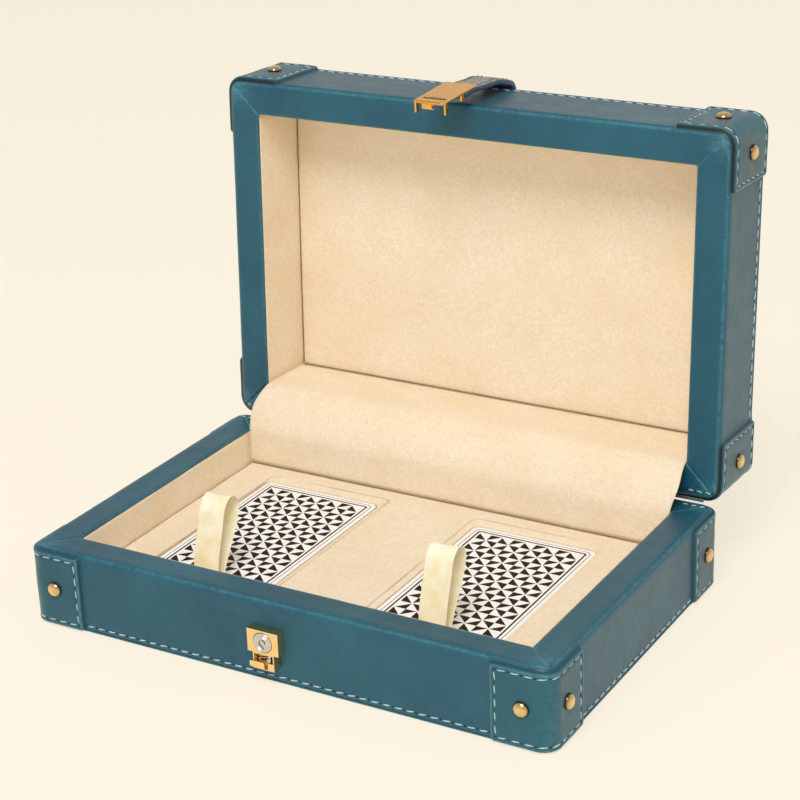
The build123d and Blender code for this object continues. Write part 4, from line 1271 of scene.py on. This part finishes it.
def strap():
    line = strap_line()
    out, run = beside(line), run_along(line)
    ring = []
    for a in np.linspace(0, 2 * math.pi, 33)[:-1]:
        c, s = math.cos(a), math.sin(a)
        x = STRAP_HALF * math.copysign(abs(c) ** 0.22, c)
        n = STRAP_THICK / 2 * math.copysign(abs(s) ** 0.45, s)
        ring.append((x, n))
    points, wear_and_painted_light = [], []
    for i, (y, z) in enumerate(line):
        ends = min(run[i], run[-1] - run[i])
        shrink = 1 - 0.25 * math.exp(-(ends / 0.5) ** 2)
        for x, n in ring:
            dip = 0.28 * math.exp(-((abs(x) - 5.0) / 0.5) ** 2) * (n > 0)
            swell = 0.12 * (1 - (x / STRAP_HALF) ** 2) * (n > 0)
            off = (n - dip + swell) * shrink
            points.append((CLASP_X + x * (1 - 0.03 * math.exp(-(ends / 0.6) ** 2)),
                           y + out[i, 0] * off, z + out[i, 1] * off))
            # The top face takes the pale worn colour: partly worn grain and partly a painted highlight on
            # the face that looks up.
            wear_and_painted_light.append(1.0 if n > 0.9 else 0.0)
    columns = len(ring)
    faces = grid_faces(len(line), columns, False, True)
    faces += end_faces(len(line), columns)
    made = piece("leather_strap", opened(points), faces, STRAP_COWHIDE, None, wear_and_painted_light)
    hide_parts("strap_root", "strap_flap")
    seam = Seam()
    shown = (run > 1.8) & (run < run[-1] - 11.6)
    outward = np.concatenate([np.zeros((len(line), 1)), out], 1)
    for x in (-5.0, 5.0):
        path = np.stack([np.full(len(line), CLASP_X + x), line[:, 0] + out[:, 0] * 1.12,
                         line[:, 1] + out[:, 1] * 1.12], 1)
        seam.sew(path[shown], outward[shown], 4.0)
    first = np.argmax(run > 2.2)
    across = between((CLASP_X - 4.4, *(line[first] + out[first] * 1.15)),
                     (CLASP_X + 4.4, *(line[first] + out[first] * 1.15)))
    seam.sew(across, outward[first], 3.4)
    thread = piece("strap_thread", opened(seam.points), seam.faces, NAVY_THREAD, None)
    holes = piece("strap_needle_hole_shades", opened(seam.holes), seam.hole_faces, NEEDLE_HOLE_SHADE, None)
    start = opened([CLASP_X, FRONT - 1.2, LID_TOP + 0.2])
    end = opened([CLASP_X, FRONT - 5.0, LID_TOP - 10.0])
    for part in (made, thread, holes):
        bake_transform(part)


strap()


# %% [markdown]
# ## Lock, hasp and rivets
# The CAD nodes already have the true shape of the metalwork. Cast and stamped brass has no
# sharp edges, so three modifiers finish them: weld the points, dissolve the flat triangles and
# bevel what is left by a quarter of a millimetre. Modifiers leave the CAD mesh itself as it is.


# %% Finishing the CAD metal
def finish_node(node, material, bevel_mm=0.0, angle=32):
    made = frame["nodes"][node]
    made.data.materials.clear()
    made.data.materials.append(material)
    weld = made.modifiers.new("weld", "WELD")
    weld.merge_threshold = 1e-6
    if bevel_mm:
        flat = made.modifiers.new("flat", "DECIMATE")
        flat.decimate_type, flat.angle_limit = "DISSOLVE", math.radians(1.0)
        bevel = made.modifiers.new("bevel", "BEVEL")
        bevel.width, bevel.segments, bevel.limit_method = bevel_mm * MM, 3, "ANGLE"
        bevel.angle_limit = math.radians(angle)
        bevel.harden_normals = True
    return made


finish_node("lock_body", PALE_BRASS, 0.3)
finish_node("release_slide", PALE_BRASS, 0.18)
finish_node("latch_hook", SPRING_STEEL, 0.12)
finish_node("hasp_plate", POLISHED_BRASS, 0.24)
finish_node("hasp_catch", SPRING_STEEL, 0.08)
for prefix in HALVES:
    outer = "bottom" if prefix == "base" else "top"
    for part in (outer, "front", "back", "left", "right"):
        finish_node(f"{prefix}_{part}_board", FIBRE_BOARD)

# %% [markdown]
# ## Rolled end and slot lip of the hasp
# The plate's lower end is rolled over between its legs, and a bent steel wire frames the far
# side of its slot. Both are too small to carve into the CAD plate with a modifier, so each is a
# mesh of its own: a bulged sheet for the roll and a tapered tube for the wire.


# %% Rolled end and slot lip
def hasp_nose_roll():
    """The plate's lower end, rolled in between its two legs as far as the lock's face allows."""
    wide, deep, bulge, metal_mm = 6.3, 1.12, 0.36, 0.35
    outer, inner = [], []
    for i in range(19):
        x = -wide + 2 * wide * i / 18
        for j in range(11):
            u = j / 10
            off = HASP_FACE - 0.12 - deep * u
            out = bulge * math.sin(math.pi * u) ** 0.7
            outer.append((CLASP_X + x, *on_hasp(off, -out - 0.03)))
            inner.append((CLASP_X + x, *on_hasp(off, -out + metal_mm)))
    shape = (19, 11, 3)
    points, faces = shell(np.array(outer).reshape(shape), np.array(inner).reshape(shape))
    return piece("hasp_nose_roll", opened(points), faces, POLISHED_BRASS, "hasp")


def hasp_slot_lip():
    """A bent steel wire that frames the far side of the plate's slot."""
    points, sides, runs, reach = [], 8, 21, 5.1
    for i in range(runs):
        u = -1 + 2 * i / (runs - 1)
        girth = 0.32 * max(1 - abs(u) ** 6, 0.05) ** 0.5
        y, z = on_hasp(HASP_FACE + 0.05, 5.05 + 1.0 * (1 - abs(u) ** 3))
        for k in range(sides):
            a = 2 * math.pi * k / sides
            points.append((CLASP_X + reach * u, y + girth * math.cos(a), z + girth * math.sin(a)))
    faces = grid_faces(runs, sides, False, True)
    faces += end_faces(runs, sides)
    return piece("hasp_slot_lip", opened(points), faces, SPRING_STEEL, "hasp")


hasp_nose_roll()
hasp_slot_lip()

# %% [markdown]
# ## Spring leaves in the lock
# In the mouth of the lock's pocket lie a few thin bent steel leaves. They catch the light in
# bright slivers against the dark pocket. Each is a narrow sheet, bent a little more than the
# one below it.


# %% Spring leaves
def lock_spring_leaves():
    """Three thin steel leaves, bent and lying slanted on each other behind the lock's mouth."""
    slide_top, hook_low = node_box("release_slide")[1][2], node_box("latch_hook")[0][0]
    left, right = node_box("lock_body")[0][0] + 3.2, hook_low - 0.15
    points, faces = [], []
    for k in range(3):
        rows = []
        for i in range(13):
            u = i / 12
            x = left + (right - left) * u
            z = slide_top + 0.55 + k * 0.95 + 1.1 * u ** 1.5 - 0.1 * k * u
            rows.append([(x, FRONT - 0.95 - depth, z + 0.16 * math.sin(math.pi * u) - 0.15 * depth)
                         for depth in np.linspace(0, 1.15 - 0.1 * k, 5)])
        outer = np.array(rows)
        inner = outer - np.array([0, 0, 0.42])
        some, sides = shell(outer, inner)
        faces += [tuple(n + len(points) for n in face) for face in sides]
        points += [tuple(p) for p in some]
    print(f"lock leaves over {right - left:.1f} mm")
    return piece("lock_spring_leaves", points, faces, SPRING_STEEL, "tray")


lock_spring_leaves()

# %% [markdown]
# ## Rivets
# Each cap is held by two domed brass rivets, antiqued so that brown lies round the foot of the
# dome; the same brown is a painted dark reflection of the leather round the foot. Their heads
# are small lathe shapes, one ring of points for each step up the dome, and they sit a little
# sunk in the leather that they clamp.


# %% Rivet heads
def rivet_heads(prefix):
    half, points, faces, patina_and_dark_reflection = HALVES[prefix], [], [], []
    rings, sides, radius, tall = 10, 28, 3.2, 2.2
    for corner, (sx, sy) in CORNERS.items():
        on_front = (sx * (HALF_X - RIVET_ALONG), sy * (HALF_Y + RIVET_OUT), RIVET_HEIGHT)
        on_side = (sx * (HALF_X + RIVET_OUT), sy * (HALF_Y - RIVET_ALONG), RIVET_HEIGHT)
        for out, place in (((0, sy, 0), on_front), ((sx, 0, 0), on_side)):
            out, start = np.array(out, float), len(points)
            across = np.cross(out, (0, 0, 1))
            for i in range(rings + 1):
                lift = math.radians(90 * i / rings)
                r, h = radius * math.cos(lift) ** 0.85, tall * math.sin(lift)
                for k in range(sides if i < rings else 1):
                    a = 2 * math.pi * k / sides
                    points.append(np.array(place) + out * h
                                  + (across * math.cos(a) + np.array((0, 0, 1)) * math.sin(a)) * r)
                    # Brown towards the foot of the dome: patina, and also a painted dark reflection of
                    # the leather round it.
                    patina_and_dark_reflection.append(min(1, 0.9 * math.exp(-(i / 2.6) ** 2) + 0.3 * (1 - i / rings)))
            faces += grid_faces(rings, sides, False, True, start)
            crown, last = start + rings * sides, start + (rings - 1) * sides
            faces += [(last + k, last + (k + 1) % sides, crown) for k in range(sides)]
            faces.append(tuple(range(start, start + sides)))
    made = piece(f"{prefix}_rivet_heads", half["place"](points), faces, ANTIQUE_BRASS, half["body"],
                 patina_and_dark_reflection)
    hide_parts(f"{prefix}_rivets")


for prefix in HALVES:
    rivet_heads(prefix)

# %% [markdown]
# ## Lock barrel
# The barrel is turned from brass rod and nickel-plated: a flat face with fine turned rings, and
# in its middle a round keyway with a post in it and a notch at one side. It is a lathe shape,
# so a ring of points for each radius does it, sunk deeper where the notch is.


# %% Lock barrel
def lock_barrel():
    low, high = node_box("lock_barrel")
    middle = (low + high) / 2
    front = low[1]
    profile = [(0, 0.12), (0.45, 0.05), (0.85, 0.0), (1.0, 0.12), (1.08, 0.9), (1.52, 0.9),
               (1.6, 0.14), (1.75, 0.02), (2.2, 0.0), (2.32, 0.12), (2.5, 0.13), (2.62, 0.0),
               (2.95, 0.0), (3.06, 0.14), (3.28, 0.15), (3.4, 0.02), (3.8, 0.03), (4.02, 0.14),
               (4.14, 0.4), (4.2, 0.9), (4.2, high[1] - front)]
    points, turns = [], 64
    for radius, depth in profile:
        for k in range(turns):
            a = 2 * math.pi * k / turns
            notch = 1.52 <= radius <= 2.35 and abs(math.degrees(a) - 270) < 20
            points.append((middle[0] + radius * math.cos(a), front + (0.85 if notch else depth),
                           middle[2] + radius * math.sin(a)))
    faces = grid_faces(len(profile), turns, False, True)
    faces.append(tuple(range((len(profile) - 1) * turns, len(profile) * turns)))
    made = piece("turned_lock_barrel", points, faces, NICKEL, "barrel", sharp=40)
    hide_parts("lock_barrel")


lock_barrel()

# %% [markdown]
# ## Hinge leather
# Behind the box, two leather leaves and a fold over a cord carry the lid. From the front only
# the rough flesh side of the fold shows, as a grey line between the two rims.


# %% Hinge leather
def strip(name, node, body):
    """A strap with rolled edges in the place of a leaf; made on the closed box."""
    half = HALF_X - CAP_LENGTH - 1.5
    foot = HINGE_Z - 13.8 if body == "tray" else HINGE_Z + 0.8
    xs = [x - half for x in steps(2 * half, [0.1, 0.3, 0.6, 1.0, 1.6, 2.4], 3)]
    zs = [foot + z for z in steps(13.0, [0.1, 0.3, 0.6, 1.0, 1.6, 2.4], 1.2)]
    outer = []
    for z in zs:
        for x in xs:
            edge = min(half - abs(x), z - foot, foot + 13 - z)
            lip = min(edge, 0.6) / 0.6
            off = 1.2 * (0.15 + 0.85 * math.sqrt(1 - (1 - lip) ** 2))
            off -= 0.2 * math.exp(-((edge - 2.2) / 0.5) ** 2)
            outer.append((x, HALF_Y + off - 0.04, z))
    grid = np.array(outer).reshape(len(zs), len(xs), 3)
    under = grid.copy()
    under[..., 1] = HALF_Y - 0.1
    points, faces = shell(grid, under)
    turn = opened if body == "lid" else as_base
    made = piece(name, turn(points), faces, TEAL_COWHIDE, body)
    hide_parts(node)
    seam = Seam()
    for z in (foot + 2.2, foot + 10.8):
        ends = [(x, HALF_Y + 0.92, z) for x in (2.2 - half, half - 2.2)]
        seam.sew(between(*ends), (0, 1, 0))
    seam.make(name, turn, body)


strip("hinge_leaf_on_base", "hinge_leaf_base", "tray")
strip("hinge_leaf_on_lid", "hinge_leaf_lid", "lid")


def hinge_fold():
    low, high = node_box("hinge_cord")
    xs = np.linspace(low[0], high[0], 180)
    points, sides = [], 14
    for i, x in enumerate(xs):
        for k in range(sides):
            a = 2 * math.pi * k / sides
            r = 0.66 + 0.10 * noise.noise(Vector((x / 3.0, math.cos(a), math.sin(a))))
            points.append((x, HINGE_Y + r * math.cos(a), HINGE_Z + r * math.sin(a)))
    faces = grid_faces(len(xs), sides, False, True)
    faces += end_faces(len(xs), sides)
    fold = piece("hinge_fold", points, faces, FLESH_SIDE, "tray")
    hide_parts("hinge_cord")


hinge_fold()
